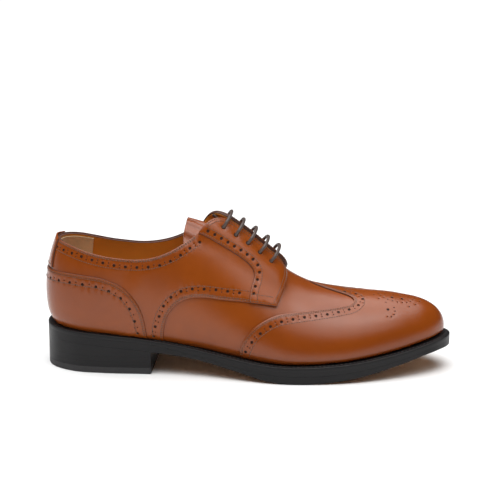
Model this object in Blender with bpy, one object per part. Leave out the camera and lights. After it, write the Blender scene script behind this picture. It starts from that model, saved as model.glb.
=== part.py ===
"""A man's leather derby shoe with full brogue wing tip, right foot, about EU 42.

Frame: origin on the ground under the middle of the shoe, +X to the toe, +Z up, -Y the outer (lateral) side.
Every upper piece is a patch of one foot-shaped surface, the last, pushed out to its own layer.
A place on the last is a station (mm round the feather edge, heel 0, toe LAST_LENGTH) and a share
(0 at the feather edge, 1 on the ridge), the same on both sides of the shoe.
"""
import math

import bmesh
import bpy
import numpy as np
from mathutils import Matrix, Vector

MM = 0.001

# Ribs of the last, heel to toe, mm: feather x, outer y, inner y, z | ridge x, z | foot handle, lean deg,
# ridge handle. Each rib is one cubic arch from the feather edge up to the ridge.
RIBS = [
    (-147.0, 0.0, 0.0, 32.8, -119, 125.8, 46, 17, 12),
    (-143.0, -15.0, 15.0, 32.4, -116, 125.8, 46, 15, 15),
    (-128.5, -26.5, 26.0, 31.4, -108, 125.8, 47, 12, 19),
    (-107.0, -30.5, 30.0, 29.8, -96, 125.8, 48, 9, 21),
    (-75.0, -31.5, 30.0, 26.8, -73, 124.8, 48, 8, 21),
    (-40.0, -34.0, 26.0, 21.8, -40, 118.3, 46, 10, 18),
    (-8.0, -40.5, 28.5, 16.8, -8, 98.3, 36, 12, 18),
    (16.0, -46.0, 34.5, 13.7, 15, 79.3, 26, 14, 21),
    (32.0, -47.7, 38.5, 12.8, 30, 67.6, 20, 15, 24),
    (47.0, -47.3, 40.3, 13.0, 44, 60.3, 17, 16, 27),
    (75.0, -43.5, 39.5, 14.9, 70, 53.8, 15, 16, 27),
    (100.0, -35.3, 32.0, 18.2, 91, 51.8, 15, 16, 24),
    (121.0, -25.5, 22.0, 22.0, 104, 51.0, 15, 15, 20),
    (136.5, -15.0, 11.0, 25.2, 111, 50.2, 15, 13, 20),
    (143.5, -2.0, -2.0, 26.1, 113, 50.0, 15, 12, 22),
]
OUTER, INNER = -1, 1

# Lattice of the last: steps along the feather edge and up each rib.
STATION_STEPS = 27
SHARE_STEPS = 9
CROWDING = 0.3               # how much closer the steps stand at the toe and the heel
SHARE_SCALE = 80.0           # mm that one whole share stands for when distances to a seam are measured

# Layers, mm out from the last; neighbours keep CLEAR between them.
CLEAR = 0.3
LINING = (0.0, 0.7)
STIFFENER = (1.1, 1.8)
VAMP = (2.2, 3.3)
LEATHER = 0.9
VAMP_STEP = 1.4              # how much the quarter rises to lie on the vamp
LACING_LIFT = 5.0            # how far the quarter's lacing edge stands off the instep
LINING_LIFT = 6.2            # the same for its lining, which follows the quarter there
EYELET_MIDDLE = 7.7          # middle of the three layers that the lace goes through

# Outlines on the last as (station, share), both sides alike. OVER reaches across the ridge.
OVER = 1.3
TOPLINE = [(-20, 0.505), (0, 0.505), (14, 0.50), (27, 0.48), (41, 0.451), (53, 0.432), (64, 0.424),
           (75, 0.42), (86, 0.43), (94, 0.449), (102, 0.48), (108.5, 0.511), (114.5, 0.556), (121, 0.61)]
THROAT = [(126.5, 0.68), (130, 0.76), (135, 0.84), (140, 0.89), (146, 0.915), (165, 0.915), (182, 0.91),
          (189, 0.87)]
QUARTER_FRONT = [(191.5, 0.79), (190.7, 0.70), (188.5, 0.573), (186, 0.482)]
QUARTER_FOOT = [(174.3, 0.439), (162, 0.387), (145.5, 0.33), (136, 0.308), (126.5, 0.282), (120.5, 0.262),
                (114.5, 0.237), (107.8, 0.181), (104.6, 0.148), (103, 0.115), (101.7, 0.069), (101.3, -0.2)]
VAMP_BACK = [(90, -0.2), (91, 0.10), (96, 0.20), (106, 0.29), (120, 0.34), (150, 0.41), (165, 0.47),
             (172, 0.56), (175, 0.72), (176, OVER)]
WING_EDGE = [(159.2, -0.2), (159.7, 0.024), (161.7, 0.107), (167.6, 0.205), (175.6, 0.308), (187.3, 0.425),
             (203.6, 0.532), (219.4, 0.61), (235.2, 0.671), (244.1, 0.714), (247.9, 0.778), (245.9, 0.85),
             (238, 0.895), (229.5, 0.925), (221, 0.955), (214, 1.0), (206, OVER)]
COUNTER_EDGE = [(89, -0.2), (88.7, 0.014), (87.7, 0.098), (84.4, 0.16), (78.2, 0.212), (70.5, 0.265),
                (59.1, 0.298), (45.9, 0.308), (33, 0.315), (18, 0.315), (0, 0.315), (-20, 0.315)]
FACING_EDGE = [(121, OVER), (121, 0.69), (127.4, 0.673), (134.1, 0.666), (141.8, 0.663), (154.5, 0.664),
               (163, 0.66), (167.6, 0.644), (168.8, 0.60), (167.1, 0.532), (166.4, 0.47), (166, 0.40), (166, 0.2)]
STRAP_EDGE = [(-20, 0.34), (0, 0.335), (16, 0.345), (14.7, 0.411), (14.2, 0.458), (14.9, 0.496), (15, 0.56),
              (15, 0.8), (-20, 0.8)]
VAMP_LINING_BACK = [(149, -0.2), (149, 0.42), (156, 0.58), (166, 0.62), (177, 0.70), (180, OVER)]
QUARTER_LINING_FRONT = [(146, -0.2), (146, 0.42), (151, 0.60), (158, 0.77), (186, 0.79), (186, OVER)]
PUFF_BACK = [(238, -0.2), (244, 0.3), (252, 0.6), (266, OVER)]
COUNTER_STIFFENER_EDGE = [(92, -0.2), (88, 0.14), (76, 0.25), (56, 0.32), (20, 0.37), (0, 0.38), (-20, 0.37)]
HEEL_GRIP_EDGE = [(38, -0.2), (38, OVER)]
TONGUE_BACK = [(114, 0.40), (114.7, 0.58), (117, 0.8), (118, OVER)]
TONGUE_FRONT = [(165, 0.40), (171, 0.75), (173.5, 0.9), (173.5, OVER)]
TONGUE_SIDE = [(0, 0.52), (120, 0.52), (140, 0.60), (160, 0.74), (200, 0.80)]
TONGUE = 2.2                 # thickness, padding and lining included
TONGUE_SAG = 11.5            # how far the empty shoe's tongue drops at its top
EYELETS = [(141.5, 0.79), (150.5, 0.79), (159.5, 0.79), (168.5, 0.79), (177.5, 0.79)]
LACE_HOLE = 3.2
LACE = 2.2

EYELET_REACH = 4.6           # half the length that the punch goes through
LACE_REACH = 2.1             # half the length that the lace runs straight in its hole
LACE_RUN = 4.6               # how far off the last the lace runs under the facings
LACE_END = [(1.6, 0.006), (8.0, 0.03)]   # steps back and up of the lace's hidden ends
BAR_HANDLE = 12.5            # how strongly a bar of the stiff lace arches over the throat
TONGUE_HINGE = (12.5, 0.0, 84.0)
HEEL_SEAM = 1.5

# Bottom of the shoe: x, mm | depth of the tread under the feather edge | how far the edge stands out.
SOLE_DEPTH = [(-155, 9.1), (-71, 9.1), (-52, 8.2), (-34, 8.0), (-21, 8.6), (-9, 9.4), (3, 10.5), (15, 12.0),
              (27, 12.8), (45, 12.9), (61, 12.4), (84, 11.7), (107, 10.0), (130, 8.8), (155, 8.6)]
SOLE_EDGE = [(-155, 6.8), (-75, 6.2), (-40, 7.6), (0, 9.2), (155, 9.5)]
WELT_TOP, WELT_FOOT = 0.3, 3.3
MIDSOLE_TOP = 3.6
MIDSOLE_DEPTH = [(-60, 0.9), (-30, 1.6), (0, 3.0), (60, 3.4), (155, 2.2)]
MIDSOLE_START = -58.0
HEEL_BREAST = -71.0
SOLE_STEP = 9.0              # step along the feather edge
BAND_INSIDE = 0.9            # the welt and the rand start this far outside the feather edge
CORK_START = -2.0
SHANK, SHANK_WIDTH = (-95.0, -6.0), 14.0
TOP_PIECE = 5.0
LIFTS = [(5.3, 9.0), (9.3, 13.0)]
WEDGE_FOOT = 13.3
NAIL_RADIUS, NAIL_HOLE, NAIL_TOP, NAIL_HEAD = 1.2, 1.6, 15.5, 0.6
NAILS = [(-138, 0), (-124, -20), (-124, 20), (-96, -24), (-96, 24)]

TAN = (0.36, 0.085, 0.022)
BLACK = (0.012, 0.011, 0.012)
FINISHES = {
    "calf": (TAN, 0.28, 0.0),
    "lining": ((0.33, 0.13, 0.035), 0.6, 0.0),
    "suede": ((0.25, 0.17, 0.09), 0.9, 0.0),
    "sole": (BLACK, 0.42, 0.0),
    "cork": ((0.35, 0.2, 0.09), 0.9, 0.0),
    "rubber": ((0.02, 0.02, 0.02), 0.7, 0.0),
    "steel": ((0.5, 0.5, 0.5), 0.35, 1.0),
    "brass": ((0.6, 0.42, 0.12), 0.35, 1.0),
    "board": ((0.3, 0.2, 0.12), 0.85, 0.0),
    "cord": ((0.045, 0.025, 0.018), 0.5, 0.0),
}


def clear_scene():
    for thing in list(bpy.data.objects):
        bpy.data.objects.remove(thing, do_unlink=True)


def smooth(knots, values, at):
    """Cubic through the values with three-point slopes."""
    knots, values = np.asarray(knots, float), np.asarray(values, float)
    gap = np.diff(knots)
    rise = np.diff(values) / gap
    slope = np.empty_like(values)
    slope[1:-1] = (rise[:-1] * gap[1:] + rise[1:] * gap[:-1]) / (gap[:-1] + gap[1:])
    slope[0] = rise[0] + (rise[0] - slope[1]) / 2
    slope[-1] = rise[-1] + (rise[-1] - slope[-2]) / 2
    i = np.clip(np.searchsorted(knots, at, side="right") - 1, 0, len(gap) - 1)
    s = (at - knots[i]) / gap[i]
    return ((1 + 2 * s) * (1 - s) ** 2 * values[i] + s * (1 - s) ** 2 * gap[i] * slope[i]
            + s * s * (3 - 2 * s) * values[i + 1] + s * s * (s - 1) * gap[i] * slope[i + 1])


def unit(v):
    return v / np.maximum(np.linalg.norm(v, axis=-1, keepdims=True), 1e-9)


def ease(x):
    x = np.clip(x, 0.0, 1.0)
    return x * x * (3 - 2 * x)


def table(pairs, x):
    return np.interp(x, [p[0] for p in pairs], [p[1] for p in pairs])


def crowded(start, stop, count):
    """Values from start to stop, closer together at both ends."""
    u = np.linspace(0, 1, count)
    return start + (stop - start) * (u - CROWDING * np.sin(2 * np.pi * u) / (2 * np.pi))


class Last:
    """The foot-shaped surface: points, outward directions and the feather edge in plan."""

    def __init__(self):
        ribs = np.array(RIBS, float)
        steps = np.hypot(np.diff(ribs[:, 0]), np.diff(ribs[:, 1]))
        key = np.concatenate([[0], np.cumsum(steps)])
        self.length = key[-1]
        # two ribs of the other side carry each end's curve on past the heel and the toe
        self.keys = np.concatenate([[-key[2], -key[1]], key, [2 * key[-1] - key[-2], 2 * key[-1] - key[-3]]])
        order = [2, 1] + list(range(len(ribs))) + [len(ribs) - 2, len(ribs) - 3]
        self.ribs = {}
        for side, own, other in ((OUTER, 1, 2), (INNER, 2, 1)):
            rows = ribs[order].copy()
            rows[:, 1] = ribs[order, own]
            rows[[0, 1, -2, -1], 1] = ribs[order, other][[0, 1, -2, -1]]
            self.ribs[side] = rows

    def column(self, side, station, index):
        return smooth(self.keys, self.ribs[side][:, index], station)

    def plan(self, side, station):
        """Feather point in plan, its outward direction, and its height."""
        x, y = (self.column(side, station, i) for i in (0, 1))
        near, far = station - 0.5, station + 0.5
        run = np.stack([self.column(side, far, i) - self.column(side, near, i) for i in (0, 1)], -1)
        run = unit(run)
        out = np.stack([-run[:, 1], run[:, 0]], -1) * side
        return np.stack([x, y], -1), out, self.column(side, station, 3)

    def surface(self, side, station, share):
        foot_xy, out, z = self.plan(side, station)
        foot = np.concatenate([foot_xy, z[:, None]], -1)
        ridge = np.stack([self.column(side, station, 4), 0 * station, self.column(side, station, 5)], -1)
        lean = np.radians(self.column(side, station, 7))[:, None]
        up = np.concatenate([out * np.sin(lean), np.cos(lean)], -1)
        across = unit(foot_xy - ridge[:, :2])
        inside = np.clip(station, 3.0, self.length - 3.0)
        rise, run = (self.column(side, inside + 0.5, i) - self.column(side, inside - 0.5, i) for i in (5, 4))
        fall = np.clip(rise / run, -1.2, 1.2)
        along = np.concatenate([across, (fall * across[:, 0])[:, None]], -1)
        low = foot + self.column(side, station, 6)[:, None] * up
        high = ridge + self.column(side, station, 8)[:, None] * along
        t = share[None, :, None]
        return (foot[:, None] * (1 - t) ** 3 + 3 * low[:, None] * (1 - t) ** 2 * t
                + 3 * high[:, None] * (1 - t) * t * t + ridge[:, None] * t ** 3)

    def lattice(self, station_steps, share_steps):
        """Points and directions of both sides, which agree along the ridge and the two end ribs."""
        station = crowded(0, self.length, station_steps + 1)
        share = np.linspace(0, 1, share_steps + 1)
        points, ways = {}, {}
        for side in (OUTER, INNER):
            grid = self.surface(side, station, share)
            across = np.cross(np.gradient(grid, axis=0), np.gradient(grid, axis=1))
            points[side], ways[side] = grid, unit(across) * -side
        ridge = unit(ways[OUTER][:, -1] + ways[INNER][:, -1])
        ridge[[0, -1]] = ridge[[1, -2]]
        for side in (OUTER, INNER):
            ways[side][:, -1] = ridge
        for end in (0, -1):
            middle = unit(ways[OUTER][end] + ways[INNER][end])
            middle[-1] = ridge[end]
            for side in (OUTER, INNER):
                ways[side][end] = middle
        for side in (OUTER, INNER):
            level = np.concatenate([self.plan(side, station)[1], np.zeros((len(station), 1))], -1)
            blend = ease(share / 0.15)[None, :, None]
            ways[side] = unit(level[:, None] * (1 - blend) + ways[side] * blend)
        return station, share, points, ways


LAST = Last()
STATION, SHARE, POINTS, WAYS = LAST.lattice(STATION_STEPS, SHARE_STEPS)


def side_of(line, station, share):
    """Distance to an outline of (station, share) points, positive to its left; its ends run straight on."""
    pts = np.array([(s, t * SHARE_SCALE) for s, t in line], float)
    pts[0] += unit(pts[0] - pts[1]) * 300
    pts[-1] += unit(pts[-1] - pts[-2]) * 300
    place = np.stack([station, share * SHARE_SCALE], -1)
    start, run = pts[:-1], np.diff(pts, axis=0)
    rel = place[..., None, :] - start
    along = np.clip((rel * run).sum(-1) / (run * run).sum(-1), 0, 1)
    gap = np.linalg.norm(rel - run * along[..., None], axis=-1)
    cross = (run[..., 0] * rel[..., 1] - run[..., 1] * rel[..., 0]) / np.linalg.norm(run, axis=-1)
    near = gap.min(-1, keepdims=True)
    # at a corner shared by two runs, the run seen most squarely decides the side
    pick = np.where(gap <= near + 1e-6, np.abs(cross), -1).argmax(-1)[..., None]
    return near[..., 0] * np.sign(np.take_along_axis(cross, pick, -1)[..., 0])


def inside_quarter(s, t):
    return side_of((TOPLINE + THROAT + QUARTER_FRONT + QUARTER_FOOT)[::-1], s, t)


def inside_vamp(s, t):
    return -side_of(VAMP_BACK, s, t)


def over_vamp(s, t):
    return ease((inside_vamp(s, t) + 26.0) / 12.0)


def lacing(s, t):
    """1 along the lacing edge of the quarter, 0 down its side and beyond the front of the throat."""
    return ease((t - 0.58) / 0.19) * (1 - ease((s - 184) / 14))


def quarter_seat(s, t):
    step = VAMP_STEP * over_vamp(s, t)
    return VAMP[0] + step + (LACING_LIFT - step) * lacing(s, t)


def lining_seat(s, t):
    return LINING_LIFT * lacing(s, t)


def tongue_top(s, t):
    """The tongue follows the instep at its base and sags into the empty shoe towards its top."""
    crest = VAMP[1] - TONGUE_SAG * ease((172 - s) / 56)
    wing = -0.6
    share = ease((t - 0.55) / 0.35)
    return crest * share + np.minimum(wing, crest + 4.0) * (1 - share)


def between(low, high):
    return lambda s, t: (np.full_like(s, low), np.full_like(s, high))


def on_seat(seat, base, thickness=LEATHER):
    """A layer that starts `base` above a seat function."""
    return lambda s, t: (seat(s, t) + base, seat(s, t) + base + thickness)


def patch(name, inside, layer, sides=(OUTER, INNER), finish="calf"):
    """A closed piece: the part of the lattice where inside(station, share) > 0, between two offsets."""
    mesh = bpy.data.meshes.new(name)
    corners, faces = {}, []
    place = []

    def node(side, i, j):
        shared = i in (0, STATION_STEPS) or j == SHARE_STEPS
        key = (0 if shared else side, i, j)
        if key not in corners:
            corners[key] = len(place)
            place.append((POINTS[side][i, j], WAYS[side][i, j], low[i, j], high[i, j]))
        return corners[key]

    s_grid, t_grid = np.meshgrid(STATION, SHARE, indexing="ij")
    low, high = layer(s_grid, t_grid)
    value = inside(s_grid, t_grid)
    value = np.where(np.abs(value) < 0.4, 0.4 * np.where(value < 0, -1, 1), value)

    def crossing(side, p, q):
        """Corner where the outline cuts the lattice edge p-q."""
        a, b = node(side, *p), node(side, *q)
        key = (min(a, b), max(a, b), "cut")
        if key not in corners:
            k = np.clip(value[p] / (value[p] - value[q]), 0.1, 0.9)
            mix = [place[a][n] * (1 - k) + place[b][n] * k for n in range(4)]
            corners[key] = len(place)
            place.append(tuple(mix))
        return corners[key]

    for side in sides:
        for i in range(STATION_STEPS):
            for j in range(SHARE_STEPS):
                quad = [(i, j), (i + 1, j), (i + 1, j + 1), (i, j + 1)]
                if side == INNER:
                    quad.reverse()
                    quad = quad[-1:] + quad[:-1]
                for tri in ((quad[0], quad[1], quad[2]), (quad[0], quad[2], quad[3])):
                    ring = []
                    for p, q in zip(tri, tri[1:] + tri[:1]):
                        if value[p] > 0:
                            ring.append(node(side, *p))
                        if (value[p] > 0) != (value[q] > 0):
                            ring.append(crossing(side, p, q))
                    if len(set(ring)) > 2:
                        faces.append(ring)
    used = sorted({v for ring in faces for v in ring})
    index = {v: n for n, v in enumerate(used)}
    inner = [Vector((place[v][0] + place[v][1] * place[v][2]) * MM) for v in used]
    outer = [Vector((place[v][0] + place[v][1] * place[v][3]) * MM) for v in used]
    count = len(used)
    skin = [[index[v] + count for v in ring] for ring in faces]
    back = [[index[v] for v in reversed(ring)] for ring in faces]
    edges = {(ring[k - 1], ring[k]) for ring in skin for k in range(len(ring))}
    walls = [[a - count, b - count, b, a] for a, b in edges if (b, a) not in edges]
    mesh.from_pydata(inner + outer, [], skin + back + sorted(walls))
    return finish_mesh(name, mesh, finish)


def finish_mesh(name, mesh, finish):
    work = bmesh.new()
    work.from_mesh(mesh)
    bmesh.ops.recalc_face_normals(work, faces=work.faces)
    if work.calc_volume(signed=True) < 0:
        bmesh.ops.reverse_faces(work, faces=work.faces)
    bmesh.ops.triangulate(work, faces=work.faces)
    work.to_mesh(mesh)
    work.free()
    mesh.shade_smooth()
    mesh.set_sharp_from_angle(angle=math.radians(40))
    mesh.materials.append(material(finish))
    piece = bpy.data.objects.new(name, mesh)
    bpy.context.scene.collection.objects.link(piece)
    return piece


def material(finish):
    known = bpy.data.materials.get(finish)
    if known:
        return known
    colour, rough, metallic = FINISHES[finish]
    new = bpy.data.materials.new(finish)
    new.use_nodes = True
    shader = new.node_tree.nodes["Principled BSDF"]
    shader.inputs["Base Color"].default_value = (*colour, 1)
    shader.inputs["Roughness"].default_value = rough
    shader.inputs["Metallic"].default_value = metallic
    return new


def cut(piece, cutter):
    modifier = piece.modifiers.new("holes", "BOOLEAN")
    modifier.operation = "DIFFERENCE"
    modifier.object = cutter
    modifier.solver = "EXACT"


def rods(name, ends, radius, sides=8):
    """Straight rods joined into one hidden cutter."""
    work = bmesh.new()
    for start, stop in ends:
        start, stop = Vector(start) * MM, Vector(stop) * MM
        way = stop - start
        turn = way.to_track_quat("Z", "Y").to_matrix().to_4x4()
        turn.translation = (start + stop) / 2
        bmesh.ops.create_cone(work, cap_ends=True, segments=sides, radius1=radius * MM, radius2=radius * MM,
                              depth=way.length, matrix=turn)
    mesh = bpy.data.meshes.new(name)
    work.to_mesh(mesh)
    work.free()
    piece = bpy.data.objects.new(name, mesh)
    bpy.context.scene.collection.objects.link(piece)
    piece.hide_render = True
    piece.display_type = "WIRE"
    return piece


def place_on(side, station, share, offset):
    """Point `offset` mm off the last, and the outward direction there."""
    s, t = np.array([station, station + 0.5, station - 0.5]), np.array([share, share + 0.005, share - 0.005])
    grid = LAST.surface(side, s, t)
    way = unit(np.cross(grid[1, 0] - grid[2, 0], grid[0, 1] - grid[0, 2])) * -side
    return grid[0, 0] + way * offset, way


def build_upper():
    both, outer, inner = (OUTER, INNER), (OUTER,), (INNER,)
    quarter_layer = on_seat(quarter_seat, 0.0)
    cover_layer = on_seat(quarter_seat, LEATHER + CLEAR)

    def wing(s, t):
        return -side_of(WING_EDGE, s, t)

    def counter(s, t):
        return side_of(COUNTER_EDGE, s, t)

    def strap(s, t):
        return np.minimum(side_of(STRAP_EDGE, s, t), inside_quarter(s, t))

    def puff(s, t):
        return -side_of(PUFF_BACK, s, t)

    def heel_counter(s, t):
        return side_of(COUNTER_STIFFENER_EDGE, s, t)

    def front_lining(s, t):
        return -side_of(VAMP_LINING_BACK, s, t)

    def grip(s, t):
        edge = np.minimum(side_of(HEEL_GRIP_EDGE, s, t), inside_quarter(s, t) - 3.0)
        return np.minimum(edge, (t - 0.14) * SHARE_SCALE)

    # the halves of the back meet at the heel seam, a small gap each side of the end rib
    def quarter(s, t):
        return np.minimum(inside_quarter(s, t), s - HEEL_SEAM)

    def quarter_lining(s, t):
        return np.minimum(np.minimum(quarter(s, t) - 0.5, side_of(QUARTER_LINING_FRONT, s, t)), s - HEEL_SEAM)

    def facing(s, t):
        return np.minimum(inside_quarter(s, t), side_of(FACING_EDGE, s, t))

    patch("vamp", inside_vamp, between(*VAMP), both)
    patch("wing_cap", wing, between(VAMP[1] + CLEAR, VAMP[1] + CLEAR + LEATHER), both)
    patch("counter_cover", counter, cover_layer, both)
    patch("back_strap", strap, cover_layer, both)
    patch("toe_puff", puff, between(*STIFFENER), both, "board")
    patch("heel_counter", heel_counter, between(*STIFFENER), both, "board")
    patch("vamp_lining", front_lining, between(*LINING), both, "lining")
    patch("heel_grip", grip, between(-CLEAR - 0.9, -CLEAR), both, "suede")
    laced = []
    for name, sides in (("outer", outer), ("inner", inner)):
        laced.append(patch("quarter_" + name, quarter, quarter_layer, sides))
        laced.append(patch("quarter_lining_" + name, quarter_lining, on_seat(lining_seat, 0.0, LINING[1]),
                           sides, "lining"))
        laced.append(patch("facing_" + name, facing, cover_layer, sides))
    holes = rods("lace_holes", [eyelet_axis(side, place, EYELET_REACH) for side in both for place in EYELETS],
                 LACE_HOLE / 2)
    for piece in laced:
        cut(piece, holes)


def build_tongue():
    def tongue(s, t):
        ends = np.minimum(-side_of(TONGUE_BACK, s, t), side_of(TONGUE_FRONT, s, t))
        return np.minimum(ends, side_of(TONGUE_SIDE, s, t))

    def layer(s, t):
        return tongue_top(s, t) - TONGUE, tongue_top(s, t)

    piece = patch("tongue", tongue, layer)
    hinge = Vector(TONGUE_HINGE) * MM
    piece.data.transform(Matrix.Translation(-hinge))
    piece.location = hinge


def eyelet_axis(side, place, reach):
    """Ends of a lace hole's axis, which leans from the facing towards the ridge."""
    station, share = place
    middle, way = place_on(side, station, share, EYELET_MIDDLE)
    ridge_way = place_on(side, station, 0.99, 0.0)[1]
    axis = unit(way * 0.4 + ridge_way * 0.6)
    return middle - axis * reach, middle + axis * reach


def lace_route():
    """Straight bars over the throat, climbing one eyelet at a time under the facings."""
    route = []
    side = OUTER
    for n, place in enumerate(reversed(EYELETS)):
        low, high = eyelet_axis(side, place, LACE_REACH)
        far_low, far_high = eyelet_axis(-side, place, LACE_REACH)
        rise, far_rise = unit(high - low) * BAR_HANDLE, unit(far_high - far_low) * BAR_HANDLE
        route += [low, high]
        for k in np.linspace(0, 1, 9)[1:-1]:
            route.append(high * (1 - k) ** 3 + 3 * (high + rise) * (1 - k) ** 2 * k
                         + 3 * (far_high + far_rise) * (1 - k) * k * k + far_high * k ** 3)
        route += [far_high, far_low]
        side = -side
        if n < len(EYELETS) - 1:
            after = EYELETS[len(EYELETS) - 2 - n]
            for k in (0.14, 0.5, 0.86):
                route.append(place_on(side, place[0] * (1 - k) + after[0] * k, place[1], LACE_RUN)[0])
    first, last = EYELETS[-1], EYELETS[0]
    start = [place_on(OUTER, first[0] - d, first[1] + u, LACE_RUN)[0] for d, u in LACE_END[::-1]]
    stop = [place_on(side, last[0] - d, last[1] + u, LACE_RUN)[0] for d, u in LACE_END]
    return [np.array(p) for p in start + route + stop]


def build_lace():
    curve = bpy.data.curves.new("shoelace", "CURVE")
    curve.dimensions = "3D"
    curve.bevel_depth = LACE / 2 * MM
    curve.bevel_resolution = 2
    curve.use_fill_caps = True
    route = lace_route()
    spline = curve.splines.new("POLY")
    spline.points.add(len(route) - 1)
    for point, place in zip(spline.points, route):
        point.co = (*(place * MM), 1)
    curve.materials.append(material("cord"))
    piece = bpy.data.objects.new("shoelace", curve)
    bpy.context.scene.collection.objects.link(piece)


def station_at(x):
    s = np.linspace(0, LAST.length, 2000)
    return np.interp(x, LAST.column(OUTER, s, 0), s)


def stations(start, stop):
    """Stations between two places along the shoe, both ends included."""
    first, last = station_at(start), station_at(stop)
    return crowded(first, last, max(3, int((last - first) / SOLE_STEP) + 2))


def edge_points(side, station, out):
    """Plan points `out` mm outside the feather edge, and the feather height at each."""
    xy, way, z = LAST.plan(side, station)
    return xy + way * np.asarray(out)[..., None], z


def sole_edge(x):
    return table(SOLE_EDGE, x)


def slab(name, station, out, top, foot, finish):
    """A plate right across the shoe; out, top and foot are functions of x, top and foot of the feather z too."""
    x = LAST.column(OUTER, station, 0)
    rows = {}
    for side in (OUTER, INNER):
        xy, z = edge_points(side, station, out(x))
        rows[side] = xy
    mesh = bpy.data.meshes.new(name)
    places, faces, ring = [], [], {}
    for n in range(len(station)):
        closed = station[n] <= 0 or station[n] >= LAST.length
        for level, height in (("top", top), ("foot", foot)):
            for side in (OUTER, INNER):
                if closed and side == INNER:
                    ring[n, level, side] = ring[n, level, OUTER]
                    continue
                ring[n, level, side] = len(places)
                places.append((*rows[side][n], height(x[n], z[n])))
    for n in range(len(station) - 1):
        for level in ("top", "foot"):
            faces.append([ring[n, level, OUTER], ring[n + 1, level, OUTER],
                          ring[n + 1, level, INNER], ring[n, level, INNER]])
        for side in (OUTER, INNER):
            faces.append([ring[n, "top", side], ring[n, "foot", side],
                          ring[n + 1, "foot", side], ring[n + 1, "top", side]])
    for n in (0, len(station) - 1):
        faces.append([ring[n, "top", OUTER], ring[n, "foot", OUTER], ring[n, "foot", INNER], ring[n, "top", INNER]])
    return shell(name, mesh, places, faces, finish)


def strip(name, places_at, finish):
    """A four-cornered section carried along a row of places; places_at[n] lists its corners."""
    mesh = bpy.data.meshes.new(name)
    places = [corner for section in places_at for corner in section]
    faces = [[4 * n + k, 4 * n + (k + 1) % 4, 4 * n + 4 + (k + 1) % 4, 4 * n + 4 + k]
             for n in range(len(places_at) - 1) for k in range(4)]
    end = len(places) - 4
    faces += [[3, 2, 1, 0], [end, end + 1, end + 2, end + 3]]
    return shell(name, mesh, places, faces, finish)


def shell(name, mesh, places, faces, finish):
    rings = []
    for face in faces:
        ring = [v for n, v in enumerate(face) if v != face[n - 1]]
        if len(set(ring)) > 2:
            rings.append(ring)
    mesh.from_pydata([Vector(place) * MM for place in places], [], rings)
    return finish_mesh(name, mesh, finish)


def band(name, station, turn, finish):
    """Welt or rand: down one side of the shoe, round its end, and up the other."""
    path = [(OUTER, s) for s in station] + [(INNER, s) for s in station[::-1][1:]]
    if turn == "heel":
        path = [(OUTER, s) for s in station[::-1]] + [(INNER, s) for s in station[1:]]
    sections = []
    for side, s in path:
        s = np.array([s])
        x = LAST.column(side, s, 0)
        inner, z = edge_points(side, s, [BAND_INSIDE])
        outer = edge_points(side, s, sole_edge(x))[0]
        top, foot = z[0] - WELT_TOP, z[0] - WELT_FOOT
        sections.append([(*inner[0], top), (*outer[0], top), (*outer[0], foot), (*inner[0], foot)])
    return strip(name, sections, finish)


def midsole_depth(x):
    return table(MIDSOLE_DEPTH, x)


def tread(x, z):
    return np.maximum(z - table(SOLE_DEPTH, x), 0.0)


def outsole_top(x, z):
    under = (midsole_depth(x) + CLEAR) * np.clip((x - MIDSOLE_START + 0.8) / 0.4, 0, 1)
    return z - MIDSOLE_TOP - under


def build_bottom():
    heel, toe = RIBS[0][0], RIBS[-1][0]
    full = stations(heel, toe)
    step = station_at(MIDSOLE_START - np.array([0.8, 0.4]))
    breast = station_at(HEEL_BREAST)
    outsole_rows = np.sort(np.concatenate([full, step, [breast]]))
    slab("insole", full, lambda x: -0.8 + 0 * x, lambda x, z: z + 1.0, lambda x, z: z - 1.2, "lining")
    slab("sock_lining", full, lambda x: -2.6 + 0 * x, lambda x, z: z + 2.0, lambda x, z: z + 1.3, "lining")
    slab("cork_filler", stations(CORK_START, toe), lambda x: -1.5 + 0 * x,
         lambda x, z: z - 1.5, lambda x, z: z - 3.3, "cork")
    slab("midsole", stations(MIDSOLE_START, toe), sole_edge, lambda x, z: z - MIDSOLE_TOP,
         lambda x, z: z - MIDSOLE_TOP - midsole_depth(x), "sole")
    slab("outsole", outsole_rows, sole_edge, outsole_top, tread, "sole")
    band("welt", stations(HEEL_BREAST, toe), "toe", "sole")
    band("heel_rand", stations(heel, HEEL_BREAST - CLEAR), "heel", "sole")
    shank_rows = []
    for x in np.linspace(*SHANK, 7):
        s = np.array([station_at(x)])
        middle = (LAST.column(OUTER, s, 1) + LAST.column(INNER, s, 1))[0] / 2
        z = LAST.column(OUTER, s, 3)[0]
        wide = SHANK_WIDTH / 2
        shank_rows.append([(x, middle - wide, z - 1.6), (x, middle + wide, z - 1.6),
                           (x, middle + wide, z - 2.9), (x, middle - wide, z - 2.9)])
    strip("shank", shank_rows, "steel")
    heel_rows = stations(heel, HEEL_BREAST)
    holes = rods("nail_holes", [((x, y, -3), (x, y, NAIL_TOP + 0.4)) for x, y in NAILS], NAIL_HOLE)
    lifts = [("heel_top_piece", 0.0, TOP_PIECE, "rubber")]
    lifts += [("heel_lift_%d" % (n + 1), *span, "sole") for n, span in enumerate(LIFTS)]
    for name, foot, top, finish in lifts:
        piece = slab(name, heel_rows, sole_edge, lambda x, z, top=top: top, lambda x, z, foot=foot: foot, finish)
        cut(piece, holes)
    wedge = slab("heel_wedge", heel_rows, sole_edge, lambda x, z: tread(x, z) - CLEAR,
                 lambda x, z: WEDGE_FOOT, "sole")
    cut(wedge, holes)
    for n, (x, y) in enumerate(NAILS):
        nail("heel_nail_%d" % (n + 1), x, y)


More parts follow.
